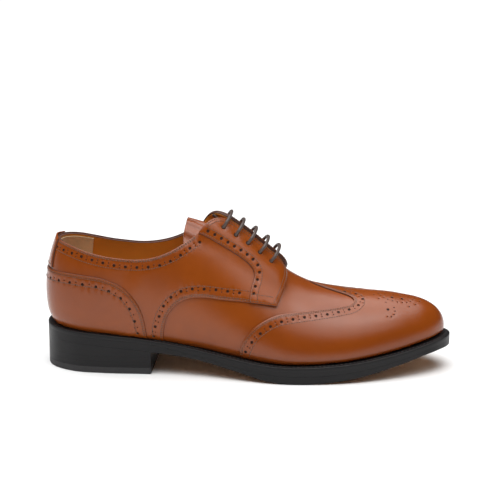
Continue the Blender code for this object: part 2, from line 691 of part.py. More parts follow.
def nail(name, x, y):
    """A heel nail, thicker at its head, which stops just short of the tread."""
    work = bmesh.new()
    place = Matrix.Translation(Vector((x, y, (NAIL_HEAD + NAIL_TOP) / 2)) * MM)
    bmesh.ops.create_cone(work, cap_ends=True, segments=8, radius1=NAIL_RADIUS * MM, radius2=NAIL_RADIUS * 0.8 * MM,
                          depth=(NAIL_TOP - NAIL_HEAD) * MM, matrix=place)
    mesh = bpy.data.meshes.new(name)
    work.to_mesh(mesh)
    work.free()
    return finish_mesh(name, mesh, "brass")


def stand_on_origin():
    """Moves everything so that the origin is on the ground under the middle of the shoe's box."""
    bpy.context.view_layer.update()
    corners = [thing.matrix_world @ Vector(corner) for thing in bpy.context.scene.objects
               if not thing.hide_render for corner in thing.bound_box]
    low = [min(c[n] for c in corners) for n in range(3)]
    high = [max(c[n] for c in corners) for n in range(3)]
    move = Vector((-(low[0] + high[0]) / 2, -(low[1] + high[1]) / 2, -low[2]))
    for thing in bpy.context.scene.objects:
        thing.location += move


if __name__ == "__main__":
    clear_scene()
    build_upper()
    build_tongue()
    build_lace()
    build_bottom()
    stand_on_origin()
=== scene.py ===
"""A man's leather derby shoe with full brogue wing tip, made piece by piece as a shoemaker makes it.

Run as a script. It loads the fixed frame, then each operator below cuts, stitches or finishes one group of
pieces. Lengths in the tables are mm in the last's own coordinates; finished meshes are in metres.
"""
import math

import bpy
import numpy as np
from bpy.props import FloatProperty, FloatVectorProperty, IntProperty, PointerProperty
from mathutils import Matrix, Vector
from mathutils.geometry import delaunay_2d_cdt

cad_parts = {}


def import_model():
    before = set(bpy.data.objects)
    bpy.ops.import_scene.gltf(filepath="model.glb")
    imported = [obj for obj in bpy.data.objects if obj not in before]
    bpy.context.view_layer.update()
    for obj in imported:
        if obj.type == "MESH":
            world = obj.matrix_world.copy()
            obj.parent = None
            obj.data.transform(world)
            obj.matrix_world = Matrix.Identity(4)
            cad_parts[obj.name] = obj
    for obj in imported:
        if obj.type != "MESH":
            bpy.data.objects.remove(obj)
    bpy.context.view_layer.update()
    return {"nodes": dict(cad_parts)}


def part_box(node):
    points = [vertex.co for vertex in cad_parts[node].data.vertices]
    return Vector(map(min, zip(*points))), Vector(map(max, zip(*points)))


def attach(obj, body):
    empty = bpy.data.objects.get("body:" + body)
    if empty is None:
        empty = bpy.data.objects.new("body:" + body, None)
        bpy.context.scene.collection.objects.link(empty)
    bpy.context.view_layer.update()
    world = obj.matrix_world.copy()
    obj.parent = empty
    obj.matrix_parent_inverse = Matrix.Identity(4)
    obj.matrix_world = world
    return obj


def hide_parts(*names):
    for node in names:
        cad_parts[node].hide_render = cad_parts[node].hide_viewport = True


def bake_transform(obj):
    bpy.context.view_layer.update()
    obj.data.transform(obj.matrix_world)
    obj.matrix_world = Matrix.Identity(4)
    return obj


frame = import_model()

bl_info = {
    "name": "Derby brogue shoe",
    "version": (1, 0, 0),
    "blender": (4, 5, 0),
    "location": "3D View > Sidebar > Shoe",
    "description": "Cuts, punches, stitches and bottoms a welted leather derby brogue",
    "category": "Add Mesh",
}

MM = 0.001
BODY = "shoe"

# The frame's origin is not the last's: the heel's middle nail shows how far they are apart.
NAIL_ON_LAST = (-138.0, 0.0)
_low, _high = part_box("heel_nail_1")
SHIFT = np.array([(_low[i] + _high[i]) / 2 - NAIL_ON_LAST[i] * MM for i in (0, 1)] + [0.0])

# Ribs of the last, heel to toe:
# feather x, outer y, inner y, z | ridge x, z | foot handle, lean in degrees, ridge handle.
RIBS = [
    (-147.0, 0.0, 0.0, 32.8, -119, 125.8, 46, 17, 12),
    (-143.0, -15.0, 15.0, 32.4, -116, 125.8, 46, 15, 15),
    (-128.5, -26.5, 26.0, 31.4, -108, 125.8, 47, 12, 19),
    (-107.0, -30.5, 30.0, 29.8, -96, 125.8, 48, 9, 21),
    (-75.0, -31.5, 30.0, 26.8, -73, 124.8, 48, 8, 21),
    (-40.0, -34.0, 26.0, 21.8, -40, 118.3, 46, 10, 18),
    (-8.0, -40.5, 28.5, 16.8, -8, 98.3, 36, 12, 18),
    (16.0, -46.0, 34.5, 13.7, 15, 79.3, 26, 14, 21),
    (32.0, -47.7, 38.5, 12.8, 30, 67.6, 20, 15, 24),
    (47.0, -47.3, 40.3, 13.0, 44, 60.3, 17, 16, 27),
    (75.0, -43.5, 39.5, 14.9, 70, 53.8, 15, 16, 27),
    (100.0, -35.3, 32.0, 18.2, 91, 51.8, 15, 16, 24),
    (121.0, -25.5, 22.0, 22.0, 104, 51.0, 15, 15, 20),
    (136.5, -15.0, 11.0, 25.2, 111, 50.2, 15, 13, 20),
    (143.5, -2.0, -2.0, 26.1, 113, 50.0, 15, 12, 22),
]
OUTER, INNER = -1, 1
BOTH = (OUTER, INNER)
SIDE_NAMES = {OUTER: "outer", INNER: "inner"}

# Layers, mm out from the last, as in the frame; the visible leather closes the frame's clearances.
CLEAR = 0.3
SNUG = 0.26                  # how much lower a layer reaches here to lie on the one below
LINING = 0.7
VAMP = (2.2, 3.3)
LEATHER = 0.9
VAMP_STEP = 1.4
LACING_LIFT = 5.0
LINING_LIFT = 6.2
EYELET_MIDDLE = 7.7
TONGUE = 2.2
TONGUE_SAG = 11.5
FLAT = 75.0                  # mm that one whole share stands for when a pattern is laid flat
TUCK, TUCK_SHARE = 0.45, 0.035   # how the upper draws in where it meets the welt
MID_LEVEL = 3.0              # the level at which patterns are measured
WING_LEVEL = VAMP[1] + CLEAR + LEATHER   # the wing cap's skin

# Outlines on the last as (station, share). Station is mm round the feather edge from the heel, share is 0 at
# the feather edge and 1 on the ridge. Every outline runs the way round that keeps its piece on the left.
COLLAR = [(126.0, 0.668), (120.4, 0.607), (114.5, 0.556), (108.5, 0.513), (102.3, 0.48), (93.8, 0.449),
          (85.4, 0.43), (74.8, 0.421), (63.8, 0.424), (52.8, 0.432), (41.2, 0.451), (27.3, 0.48), (14, 0.499),
          (0.3, 0.506)]
THROAT = [(188.8, 0.892), (183, 0.91), (175, 0.914), (165, 0.915), (155, 0.915), (147.5, 0.912),
          (141.5, 0.893), (136.3, 0.85), (131.2, 0.775), (127.8, 0.71), (126.0, 0.668)]
QUARTER_FRONT = [(186, 0.482), (187.3, 0.528), (188.6, 0.573), (189.8, 0.635), (190.7, 0.70), (191.4, 0.77),
                 (191.3, 0.83), (190.3, 0.872), (188.8, 0.892)]
QUARTER_FOOT = [(101.2, 0.0), (101.4, 0.03), (101.9, 0.069), (103.1, 0.112), (104.9, 0.148), (108, 0.183),
                (114.2, 0.233), (120.4, 0.262), (126.7, 0.283), (136, 0.307), (145.5, 0.33), (162.2, 0.386),
                (174.3, 0.434), (186, 0.482)]
VAMP_BACK = [(174.4, 1.0), (174, 0.78), (172, 0.62), (168, 0.50), (150, 0.40), (120, 0.33), (106, 0.28),
             (96, 0.19), (91, 0.10), (90, 0.0)]
WING_EDGE = [(212.5, 1.0), (216.5, 0.977), (221.5, 0.957), (229.5, 0.925), (238, 0.893), (245.3, 0.85),
             (247.9, 0.785), (244.6, 0.72), (235.2, 0.671), (219.4, 0.61), (203.6, 0.532), (187.3, 0.425),
             (175.6, 0.308), (167.4, 0.205), (161.9, 0.107), (159.9, 0.035), (159.6, 0.0)]
COUNTER_EDGE = [(88.9, 0.0), (88.6, 0.03), (87.5, 0.098), (84.3, 0.16), (78.4, 0.218), (70.5, 0.262),
                (59.2, 0.295), (46, 0.309), (33, 0.315), (18, 0.3155), (0, 0.3155)]
FACING_EDGE = [(126.0, 0.668), (134, 0.666), (141.8, 0.664), (149, 0.663), (156, 0.6625), (162.2, 0.657),
               (166.5, 0.644), (168.4, 0.618), (168.5, 0.58), (167.5, 0.532), (166.6, 0.47), (166.4, 0.4)]
STRAP_SIDE = [(15.0, 0.325), (14.2, 0.36), (13.3, 0.411), (12.9, 0.458), (13.3, 0.503)]
LINING_FRONT = [(146, 0.0), (146, 0.42), (151, 0.60), (158, 0.74), (186, 0.79)]
LINING_THROAT = [(188.0, 0.885), (183, 0.903), (165, 0.908), (147.5, 0.905), (141.8, 0.887),
                 (136.6, 0.845), (131.6, 0.77), (126.4, 0.665)]
VAMP_LINING_BACK = [(172, 1.0), (172, 0.72), (166, 0.62), (156, 0.58), (149, 0.42), (149, 0.0)]
GRIP_FRONT = [(38, 0.15), (38, 0.3), (38, 0.442)]
TONGUE_TOP = [(119.5, 1.0), (118.8, 0.86), (117, 0.74), (115.6, 0.63), (116, 0.55)]
TONGUE_SIDE = [(116, 0.55), (120, 0.54), (130, 0.565), (142, 0.615), (152, 0.685), (161, 0.745), (168, 0.765)]
TONGUE_FOOT = [(168, 0.765), (172, 0.80), (174.1, 0.88), (174.2, 1.0)]
EYELETS = [(141.5, 0.79), (150.5, 0.79), (159.5, 0.79), (168.5, 0.79), (177.5, 0.79)]
EYELET_RADIUS = 1.6
EYELET_LAYERS = {"lining": -1.1, "quarter": -0.05, "facing": 1.15}   # above the laced layers' middle

# Rows of punched holes: places that the row runs through, how many big holes, and whether pairs of
# small ones stand between them.
PUNCHED_ROWS = {
    "collar": ([(14.7, 0.451), (32.5, 0.43), (49.7, 0.399), (66.6, 0.379), (85.2, 0.384), (103.1, 0.425),
                (116.2, 0.506), (122.4, 0.563), (127.6, 0.612)], 15, True),
    "foot": ([(93.9, 0.019), (95.4, 0.074), (98.6, 0.134), (102.1, 0.198), (107.5, 0.248), (115, 0.291),
              (132.6, 0.346), (150.3, 0.399), (158.9, 0.428)], 11, True),
    "counter": ([(7.5, 0.267), (26.3, 0.267), (41.5, 0.264), (60.1, 0.241), (68.8, 0.212), (76.2, 0.162),
                 (80.2, 0.095), (82, 0.027)], 11, True),
    "facing": ([(132.1, 0.703), (147.3, 0.7035), (161.9, 0.703), (167.6, 0.694), (171.2, 0.667),
                (171.4, 0.632), (170.6, 0.578), (169.6, 0.523), (169.2, 0.476)], 13, False),
    "wing": ([(165.2, 0.067), (171.1, 0.172), (179.3, 0.277), (188, 0.368), (197.2, 0.434), (206.9, 0.492),
              (226, 0.573), (242.6, 0.647), (249.8, 0.699), (254.6, 0.764), (255.3, 0.831), (251.1, 0.893),
              (241.4, 0.925)], 15, True),
}
PAIR_GAP = 2.1
# Toe medallion: middle on the ridge, then (distance, degrees from the toe, radius) and the flower beside it.
MEDALLION_X = 112.0
MEDALLION_RINGS = [(4.6, (55, 125), 0.5), (9.7, (67, 113), 1.0), (9.7, (25, 155), 0.5),
                   (14.2, tuple(range(15, 170, 15)), 0.5), (18.6, (22, 42, 62, 118, 138, 158), 0.5)]
FLOWER_AT = (-7.5, 23.2)
FLOWER_PETAL, FLOWER_PETALS = 5.3, 5

# Bottom of the shoe, in x.
SOLE_DEPTH = [(-155, 9.1), (-71, 9.1), (-52, 8.2), (-34, 8.0), (-21, 8.6), (-9, 9.4), (3, 10.5), (15, 12.0),
              (27, 12.8), (45, 12.9), (61, 12.4), (84, 11.7), (107, 10.0), (130, 8.8), (155, 8.6)]
SOLE_EDGE = [(-155, 6.8), (-75, 6.2), (-40, 7.6), (0, 9.2), (155, 9.5)]
MIDSOLE_DEPTH = [(-60, 0.9), (-30, 1.6), (0, 3.0), (60, 3.4), (155, 2.2)]
MIDSOLE_START, HEEL_BREAST = -58.0, -71.0
WELT_TOP, WELT_FOOT = 0.3, 3.53
WELT_STITCH_IN, WELT_STITCH_UP, WELT_THREAD = 2.6, 0.14, 0.36   # from the edge, above the welt, and radius
HEEL_LEVELS = [("heel_top_piece", 0.0, 5.0, "rubber"), ("heel_lift_1", 5.04, 9.13, "sole_edge"),
               ("heel_lift_2", 9.16, 13.13, "sole_edge")]
WEDGE_FOOT = 13.16
INSOLE_IN, SOCK_IN = 0.8, 2.6                        # inside the feather edge
INSOLE_LEVELS, SOCK_LEVELS = (-1.2, 1.0), (1.05, 2.0)   # foot and top from the feather edge


def smooth(knots, values, at):
    """Cubic through the values with three-point slopes."""
    knots, values = np.asarray(knots, float), np.asarray(values, float)
    gap = np.diff(knots)
    rise = np.diff(values) / gap
    slope = np.empty_like(values)
    slope[1:-1] = (rise[:-1] * gap[1:] + rise[1:] * gap[:-1]) / (gap[:-1] + gap[1:])
    slope[0] = rise[0] + (rise[0] - slope[1]) / 2
    slope[-1] = rise[-1] + (rise[-1] - slope[-2]) / 2
    i = np.clip(np.searchsorted(knots, at, side="right") - 1, 0, len(gap) - 1)
    s = (at - knots[i]) / gap[i]
    return ((1 + 2 * s) * (1 - s) ** 2 * values[i] + s * (1 - s) ** 2 * gap[i] * slope[i]
            + s * s * (3 - 2 * s) * values[i + 1] + s * s * (s - 1) * gap[i] * slope[i + 1])


def unit(v):
    return v / np.maximum(np.linalg.norm(v, axis=-1, keepdims=True), 1e-9)


def ease(x):
    x = np.clip(x, 0.0, 1.0)
    return x * x * (3 - 2 * x)


def distance_along(points):
    """Length of the way to each of a row of points."""
    return np.concatenate([[0], np.cumsum(np.linalg.norm(np.diff(points, axis=0), axis=1))])


def columns_at(at, key, points):
    """Points of a row found again at other distances along it."""
    return np.stack([np.interp(at, key, points[:, i]) for i in range(points.shape[1])], -1)


def table(pairs, x):
    return np.interp(x, [p[0] for p in pairs], [p[1] for p in pairs])


class Last:
    """The foot-shaped surface that every upper piece lies on."""

    def __init__(self):
        ribs = np.array(RIBS, float)
        steps = np.hypot(np.diff(ribs[:, 0]), np.diff(ribs[:, 1]))
        key = np.concatenate([[0], np.cumsum(steps)])
        self.length = key[-1]
        past_toe = [2 * key[-1] - key[-2], 2 * key[-1] - key[-3]]
        self.keys = np.concatenate([[-key[2], -key[1]], key, past_toe])
        order = [2, 1] + list(range(len(ribs))) + [len(ribs) - 2, len(ribs) - 3]
        self.ribs = {}
        for side, own, other in ((OUTER, 1, 2), (INNER, 2, 1)):
            rows = ribs[order].copy()
            rows[:, 1] = ribs[order, own]
            rows[[0, 1, -2, -1], 1] = ribs[order, other][[0, 1, -2, -1]]
            self.ribs[side] = rows
        self.fine = np.linspace(0, self.length, 1500)
        self.fine_x = self.column(OUTER, self.fine, 0)

    def column(self, side, station, index):
        return smooth(self.keys, self.ribs[side][:, index], station)

    def plan(self, side, s):
        """Feather point in plan, its outward direction, and its height."""
        run = np.stack([self.column(side, s + 0.5, i) - self.column(side, s - 0.5, i) for i in (0, 1)], -1)
        run = unit(run)
        out = np.stack([-run[:, 1], run[:, 0]], -1) * side
        return np.stack([self.column(side, s, i) for i in (0, 1)], -1), out, self.column(side, s, 3)

    def bare(self, side, s, t):
        """Points on the last itself, one for each (s, t)."""
        foot_xy, out, z = self.plan(side, s)
        foot = np.concatenate([foot_xy, z[:, None]], -1)
        ridge = np.stack([self.column(side, s, 4), 0 * s, self.column(side, s, 5)], -1)
        lean = np.radians(self.column(side, s, 7))[:, None]
        up = np.concatenate([out * np.sin(lean), np.cos(lean)], -1)
        across = unit(foot_xy - ridge[:, :2])
        inside = np.clip(s, 3.0, self.length - 3.0)
        rise, run = (self.column(side, inside + 0.5, i) - self.column(side, inside - 0.5, i) for i in (5, 4))
        fall = np.clip(rise / run, -1.2, 1.2)
        along = np.concatenate([across, (fall * across[:, 0])[:, None]], -1)
        low = foot + self.column(side, s, 6)[:, None] * up
        high = ridge + self.column(side, s, 8)[:, None] * along
        t = t[:, None]
        return foot * (1 - t) ** 3 + 3 * low * (1 - t) ** 2 * t + 3 * high * (1 - t) * t * t + ridge * t ** 3

    def raw_way(self, side, s, t):
        s1, s0 = np.minimum(s + 0.6, self.length - 0.01), np.maximum(s - 0.6, 0.01)
        t1, t0 = np.minimum(t + 0.004, 0.999), np.maximum(t - 0.004, 0.0)
        run = self.bare(side, s1, t) - self.bare(side, s0, t)
        rise = self.bare(side, s, t1) - self.bare(side, s, t0)
        return unit(np.cross(run, rise)) * -side

    def way(self, side, s, t):
        """Outward directions, which agree on both sides along the ridge and round the heel and toe."""
        own = self.raw_way(side, s, t)
        s_in = np.clip(s, 6.0, self.length - 6.0)
        ridge = unit(sum(self.raw_way(k, s_in, np.full_like(t, 0.97)) for k in BOTH))
        near = ease((t - 0.86) / 0.14)[:, None]
        own = unit(own * (1 - near) + ridge * near)
        end = np.where(s < self.length / 2, 0.02, self.length - 0.02)
        middle = unit(sum(self.raw_way(k, end, np.minimum(t, 0.97)) for k in BOTH))
        middle = unit(middle * (1 - near) + ridge * near)
        close = ease(1 - np.minimum(s, self.length - s) / 7.0)[:, None]
        own = unit(own * (1 - close) + middle * close)
        level = np.concatenate([self.plan(side, s)[1], np.zeros((len(s), 1))], -1)
        foot = ease(t / 0.15)[:, None]
        return unit(level * (1 - foot) + own * foot)

    def place(self, side, s, t, off):
        s, t = np.clip(s, 0.0, self.length), np.clip(t, 0.0, 1.0)
        off = off * (1 - TUCK * np.exp(-(t / TUCK_SHARE) ** 2))
        return self.bare(side, s, t) + self.way(side, s, t) * np.asarray(off)[..., None]

    def walk(self, side, s, t, off, vector):
        """(station, share) steps that follow small vectors along the surface."""
        here = self.place(side, s, t, off)
        e, f = np.where(s > self.length - 1, -0.4, 0.4), np.where(t > 0.99, -0.004, 0.004)
        a = (self.place(side, s + e, t, off) - here) / e[:, None]
        b = (self.place(side, s, t + f, off) - here) / f[:, None]
        aa, ab, bb = (a * a).sum(-1), (a * b).sum(-1), (b * b).sum(-1)
        va, vb = (vector * a).sum(-1), (vector * b).sum(-1)
        det = aa * bb - ab * ab
        return np.stack([(va * bb - vb * ab) / det, (vb * aa - va * ab) / det], -1), a, b

    def feather(self, x):
        """Height of the feather edge at x."""
        return self.column(OUTER, self.station_at(x), 3)

    def station_at(self, x):
        return np.interp(x, self.fine_x, self.fine)


LAST = Last()
TOE = LAST.length


def world(points):
    return np.asarray(points) * MM + SHIFT


def side_of(line, s, t):
    """Distance to a line of (station, share) places, positive to its left; its ends run straight on."""
    pts = np.array(line, float) * (1, FLAT)
    pts[0] += unit(pts[0] - pts[1]) * 300
    pts[-1] += unit(pts[-1] - pts[-2]) * 300
    place = np.stack([s, t * FLAT], -1)
    start, run = pts[:-1], np.diff(pts, axis=0)
    rel = place[..., None, :] - start
    along = np.clip((rel * run).sum(-1) / (run * run).sum(-1), 0, 1)
    gap = np.linalg.norm(rel - run * along[..., None], axis=-1)
    cross = (run[..., 0] * rel[..., 1] - run[..., 1] * rel[..., 0]) / np.linalg.norm(run, axis=-1)
    near = gap.min(-1, keepdims=True)
    pick = np.where(gap <= near + 1e-6, np.abs(cross), -1).argmax(-1)[..., None]
    return near[..., 0] * np.sign(np.take_along_axis(cross, pick, -1)[..., 0])


def lacing(s, t):
    return ease((t - 0.58) / 0.19) * (1 - ease((s - 184) / 14))


def quarter_seat(s, t):
    step = VAMP_STEP * ease((-side_of(VAMP_BACK[::-1], s, t) + 26.0) / 12.0)
    return VAMP[0] + step + (LACING_LIFT - step) * lacing(s, t)


def quarter_low(s, t):
    return quarter_seat(s, t) - SNUG


def quarter_high(s, t):
    return quarter_seat(s, t) + LEATHER


def cover_low(s, t):
    return quarter_seat(s, t) + LEATHER + 0.02


def cover_high(s, t):
    return quarter_seat(s, t) + 2 * LEATHER + CLEAR


def lining_low(s, t):
    return LINING_LIFT * lacing(s, t)


def lining_high(s, t):
    """The lining thickens to the quarter at the collar, where the two are sewn and trimmed together."""
    near = 1 - ease((side_of(COLLAR, s, t) - 1.0) / 7.0)
    plain = lining_low(s, t) + LINING
    return plain + np.maximum(quarter_seat(s, t) - SNUG - 0.04 - plain, 0) * near


def tongue_high(s, t):
    crest = VAMP[1] - TONGUE_SAG * ease((172 - s) / 56)
    share = ease((t - 0.55) / 0.35)
    slack = ease((150 - s) / 25)
    ripple = 0.7 * np.sin((t - 0.53) * 46 + (s - 115) * 0.06)
    ripple = ripple * ease((t - 0.5) / 0.1) * (1 - ease((t - 0.8) / 0.15))
    return crest * share + np.minimum(-0.6, crest + 4.0) * (1 - share) + ripple * slack


def tongue_low(s, t):
    return tongue_high(s, t) - TONGUE


def level(value):
    return lambda s, t: np.full_like(s, value)


def bend(points, step=1.1, calm=5):
    """Evenly spaced places on a smooth curve through (station, share) points."""
    pts = np.array(points, float) * (1, FLAT)
    if len(pts) > 2:
        key = distance_along(pts)
        fine = np.linspace(0, key[-1], max(int(key[-1] / 0.4), 8))
        pts = np.stack([smooth(key, pts[:, i], fine) for i in (0, 1)], -1)
    key = distance_along(pts)
    even = np.linspace(0, key[-1], max(int(round(key[-1] / step)) + 1, 3))
    pts = columns_at(even, key, pts)
    for _ in range(calm):
        pts[1:-1] = pts[:-2] * 0.25 + pts[1:-1] * 0.5 + pts[2:] * 0.25
    return pts / (1, FLAT)


def straight(a, b, step=2.0):
    return bend([a, b], step, 0)


WELD, PAINTED, FOLDED, TRIMMED = 0, 1, 2, 3   # kinds of edge; a trimmed lining shows its paint from above


def outline(*runs):
    """A closed outline from (kind, places) runs; returns the places and the kind of the edge after each."""
    places, kinds = [], []
    for kind, run in runs:
        places.append(run[:-1])
        kinds += [kind] * (len(run) - 1)
    return np.concatenate(places), np.array(kinds)


def pull_in(loop, kinds, distance):
    """The outline moved inwards on the surface; welded points stay, shared ends slide along them."""
    s, t = loop.T
    off = np.full(len(s), MID_LEVEL)
    here = LAST.place(OUTER, s, t, off)
    before = np.roll(kinds, 1)
    ahead, behind = np.roll(here, -1, 0) - here, here - np.roll(here, 1, 0)
    run = np.where((kinds != WELD)[:, None], unit(ahead), 0)
    run = run + np.where((before != WELD)[:, None], unit(behind), 0)
    inward = unit(np.cross(LAST.way(OUTER, s, t), unit(run)))
    step, a, b = LAST.walk(OUTER, s, t, off, inward)
    flat_run = np.roll(loop, -1, 0) * (1, FLAT) - np.roll(loop, 1, 0) * (1, FLAT)
    turned = flat_run[:, 0] * step[:, 1] * FLAT - flat_run[:, 1] * step[:, 0] < 0
    step[turned] *= -1
    inward[turned] *= -1
    mixed = (kinds == WELD) != (before == WELD)
    step[mixed & (t > 0.9999), 1] = 0
    step[mixed & ((s < 1e-6) | (s > TOE - 1e-6)) & (t < 0.9999), 0] = 0
    real = (a * step[:, :1] + b * step[:, 1:])
    reach = np.clip((real * inward).sum(-1), 0.3, None)
    step[mixed] /= reach[mixed, None]
    still = (kinds == WELD) & (before == WELD)
    step[still] = 0
    return np.clip(loop + step * distance, (0, 0), (TOE, 1))


def inside_polygon(points, polygon):
    """Even-odd test of points in a polygon, and each point's distance to it."""
    a, b = polygon, np.roll(polygon, -1, 0)
    x, y = points[:, :1], points[:, 1:]
    spans = (a[:, 1] > y) != (b[:, 1] > y)
    with np.errstate(divide="ignore", invalid="ignore"):
        cut_x = a[:, 0] + (y - a[:, 1]) * (b[:, 0] - a[:, 0]) / (b[:, 1] - a[:, 1])
    inside = (spans & (x < cut_x)).sum(1) % 2 == 1
    run = b - a
    rel = points[:, None] - a
    along = np.clip((rel * run).sum(-1) / np.maximum((run * run).sum(-1), 1e-9), 0, 1)
    gap = np.linalg.norm(rel - run * along[..., None], axis=-1).min(1)
    return inside, gap


def round_about(spots, radius, count):
    """Places of circles round places, true on the outer side's surface: an array of spots x count x 2."""
    spots, radius = np.asarray(spots, float), np.asarray(radius, float)
    s, t = (np.repeat(spots[:, i], count) for i in (0, 1))
    way = LAST.way(OUTER, s, t)
    first = unit(np.cross(way, np.array([0.0, 0, 1.0])))
    second = np.cross(way, first)
    turn = np.tile(np.linspace(0, 2 * np.pi, count, endpoint=False), len(spots))[:, None]
    vector = (first * np.cos(turn) + second * np.sin(turn)) * np.repeat(radius, count)[:, None]
    step = LAST.walk(OUTER, s, t, np.full(len(s), MID_LEVEL), vector)[0]
    return (np.stack([s, t], -1) + step).reshape(len(spots), count, 2)


class Piece:
    """A piece of leather cut to an outline, with rounded edges and punched or pierced holes."""

    ROUND = [(0.0, 0.40), (0.12, 0.14), (0.36, 0.0)]   # inset and drop of each edge ring, mm
    BIG_FROM = 0.6                                     # radius from which a hole counts as big
    HOLE_RINGS = ((True, 12, 0.24), (False, 7, 0.13))  # big or not, corners and width of the lip
    LIP_DROP, MOUTH_DROP, HOLE_DEPTH = 0.05, 0.2, 0.72

    def __init__(self, name, loop, kinds, low, high, holes=(), pierced=(), sides=BOTH, grid=2.4, thin=1.0):
        self.name, self.sides, self.low, self.high = name, sides, low, high
        self.places, self.levels, self.faces, self.paint = [], [], [], []
        self.thin = thin
        self.build(loop, kinds, list(holes), list(pierced), grid)

    def add(self, places, top, drop):
        """Adds places at the top (1) or foot (0) skin, lowered by drop; returns their numbers."""
        first = sum(len(p) for p in self.places)
        self.places.append(np.asarray(places, float))
        self.levels.append(np.array([[top, drop]] * len(places), float).reshape(-1, 2))
        return list(range(first, first + len(places)))

    def ring_faces(self, outer, inner, paint):
        count = len(outer)
        for k in range(count):
            self.faces.append([outer[k], outer[(k + 1) % count], inner[(k + 1) % count], inner[k]])
            self.paint.append(paint)

    def build(self, loop, kinds, holes, pierced, grid):
        rings = [pull_in(loop, kinds, inset) for inset, _ in self.ROUND]
        border = rings[-1]
        count = len(border)
        flat = border * (1, FLAT)
        mids = np.array([[h[0], h[1] * FLAT] for h in holes + pierced]).reshape(-1, 2)
        reach = np.array([h[2] + 0.75 + h[2] * 0.4 for h in holes + pierced])
        low, high = flat.min(0), flat.max(0)
        xs = np.arange(low[0] + grid * 0.4, high[0], grid)
        ys = np.arange(low[1] + grid * 0.4, high[1], grid * 0.87)
        gx, gy = np.meshgrid(xs, ys)
        gx[1::2] += grid / 2
        seeds = np.stack([gx.ravel(), gy.ravel()], -1)
        inside, gap = inside_polygon(seeds, flat)
        seeds = seeds[inside & (gap > grid * 0.55)]
        if len(mids):
            seeds = seeds[(np.linalg.norm(seeds[:, None] - mids, axis=-1) > reach).all(1)]
        rims = [None] * len(mids)
        for big, corners, lip in self.HOLE_RINGS:
            group = [n for n, h in enumerate(holes + pierced) if (h[2] > self.BIG_FROM) == big]
            if group:
                spots = np.array([(holes + pierced)[n] for n in group])
                circles = [round_about(spots[:, :2], spots[:, 2] + extra, corners)
                           for extra in (lip, lip * 0.3, 0.0)]
                for k, n in enumerate(group):
                    rims[n] = [circle[k] for circle in circles]
        verts = [tuple(p) for p in flat]
        hole_faces = []
        for rim in rims:
            first = len(verts)
            verts += [tuple(p) for p in rim[0] * (1, FLAT)]
            hole_faces.append(list(range(first, len(verts))))
        verts += [tuple(p) for p in seeds]
        polygons = [list(range(count))] + hole_faces
        out = delaunay_2d_cdt([Vector(v) for v in verts], [], polygons, 1, 1e-5, True)
        new_verts, _, tris, from_verts, _, from_faces = out
        source = np.array([(p[0], p[1] / FLAT) for p in new_verts])
        exact = np.array(verts) / (1, FLAT)
        number = {}
        for k, old in enumerate(from_verts):
            if old:
                source[k] = exact[old[0]]
                for o in old:
                    number[o] = k
        top = self.add(source, 1, 0.0)
        foot = self.add(source, 0, 0.0)
        open_from = len(holes) + 1
        for tri, origin in zip(tris, from_faces):
            if not origin:
                continue
            hole = max(origin)
            if not hole:
                self.faces.append([top[k] for k in tri])
                self.paint.append(0)
            if hole < open_from:
                self.faces.append([foot[k] for k in reversed(tri)])
                self.paint.append(1)
        # rounded edge: rings from the skin out to the cut edge, then the wall down to the foot skin
        edge_rings = [[top[number[k]] for k in range(count)]]
        for ring, (_, drop) in zip(rings[-2::-1], self.ROUND[-2::-1]):
            edge_rings.append(self.add(ring, 1, drop * self.thin))
        edge_rings.append(self.add(rings[0], 0, 0.0))
        edge_rings.append([foot[number[k]] for k in range(count)])
        for k in range(count):
            kind = kinds[k]
            if kind == WELD:
                continue
            after = (k + 1) % count
            for n, (inner, outer) in enumerate(zip(edge_rings, edge_rings[1:])):
                self.faces.append([inner[after], inner[k], outer[k], outer[after]])
                self.paint.append({PAINTED: int(n > 0), FOLDED: 0, TRIMMED: 3}[kind])
        for n, rim in enumerate(rims):
            border_ring = [top[number[k]] for k in hole_faces[n]]
            lip = self.add(rim[1], 1, self.LIP_DROP)
            mouth = self.add(rim[2], 1, self.MOUTH_DROP * self.thin)
            self.ring_faces(border_ring, lip, 0)
            self.ring_faces(lip, mouth, 2)
            # Punched holes stop at a floor in the dark hole finish: painted shade for the shaded leather
            # under a hole punched through, with the dark of real underlay and polish.
            if n < len(holes):
                floor = self.add(rim[2], 1, self.HOLE_DEPTH * min(1, self.thin))
                self.ring_faces(mouth, floor, 2)
                self.faces.append(floor)
                self.paint.append(2)
            else:
                under = self.add(rim[2], 0, 0.0)
                self.ring_faces(mouth, under, 2)
                self.ring_faces(under, [foot[number[k]] for k in hole_faces[n]], 1)

    def make(self, finishes):
        places, levels = np.concatenate(self.places), np.concatenate(self.levels)
        s, t = places.T
        off = np.where(levels[:, 0] > 0.5, self.high(s, t) - levels[:, 1], self.low(s, t))
        spots = {side: LAST.place(side, s, t, off) for side in self.sides}
        total = len(s)
        if len(self.sides) == 2:
            welded = (t > 1 - 1e-6) | (s < 1e-6) | (s > TOE - 1e-6)
            points = np.concatenate([spots[OUTER], spots[INNER]])
            points[:total][welded] = (spots[OUTER][welded] + spots[INNER][welded]) / 2
            partner = np.where(welded, np.arange(total), np.arange(total) + total)
            faces = self.faces + [[int(partner[k]) for k in reversed(f)] for f in self.faces]
            paint = self.paint * 2
        elif self.sides[0] == OUTER:
            points, faces, paint = spots[OUTER], self.faces, self.paint
        else:
            points, faces, paint = spots[INNER], [f[::-1] for f in self.faces], self.paint
        return new_mesh(self.name, world(points), faces, finishes, paint)


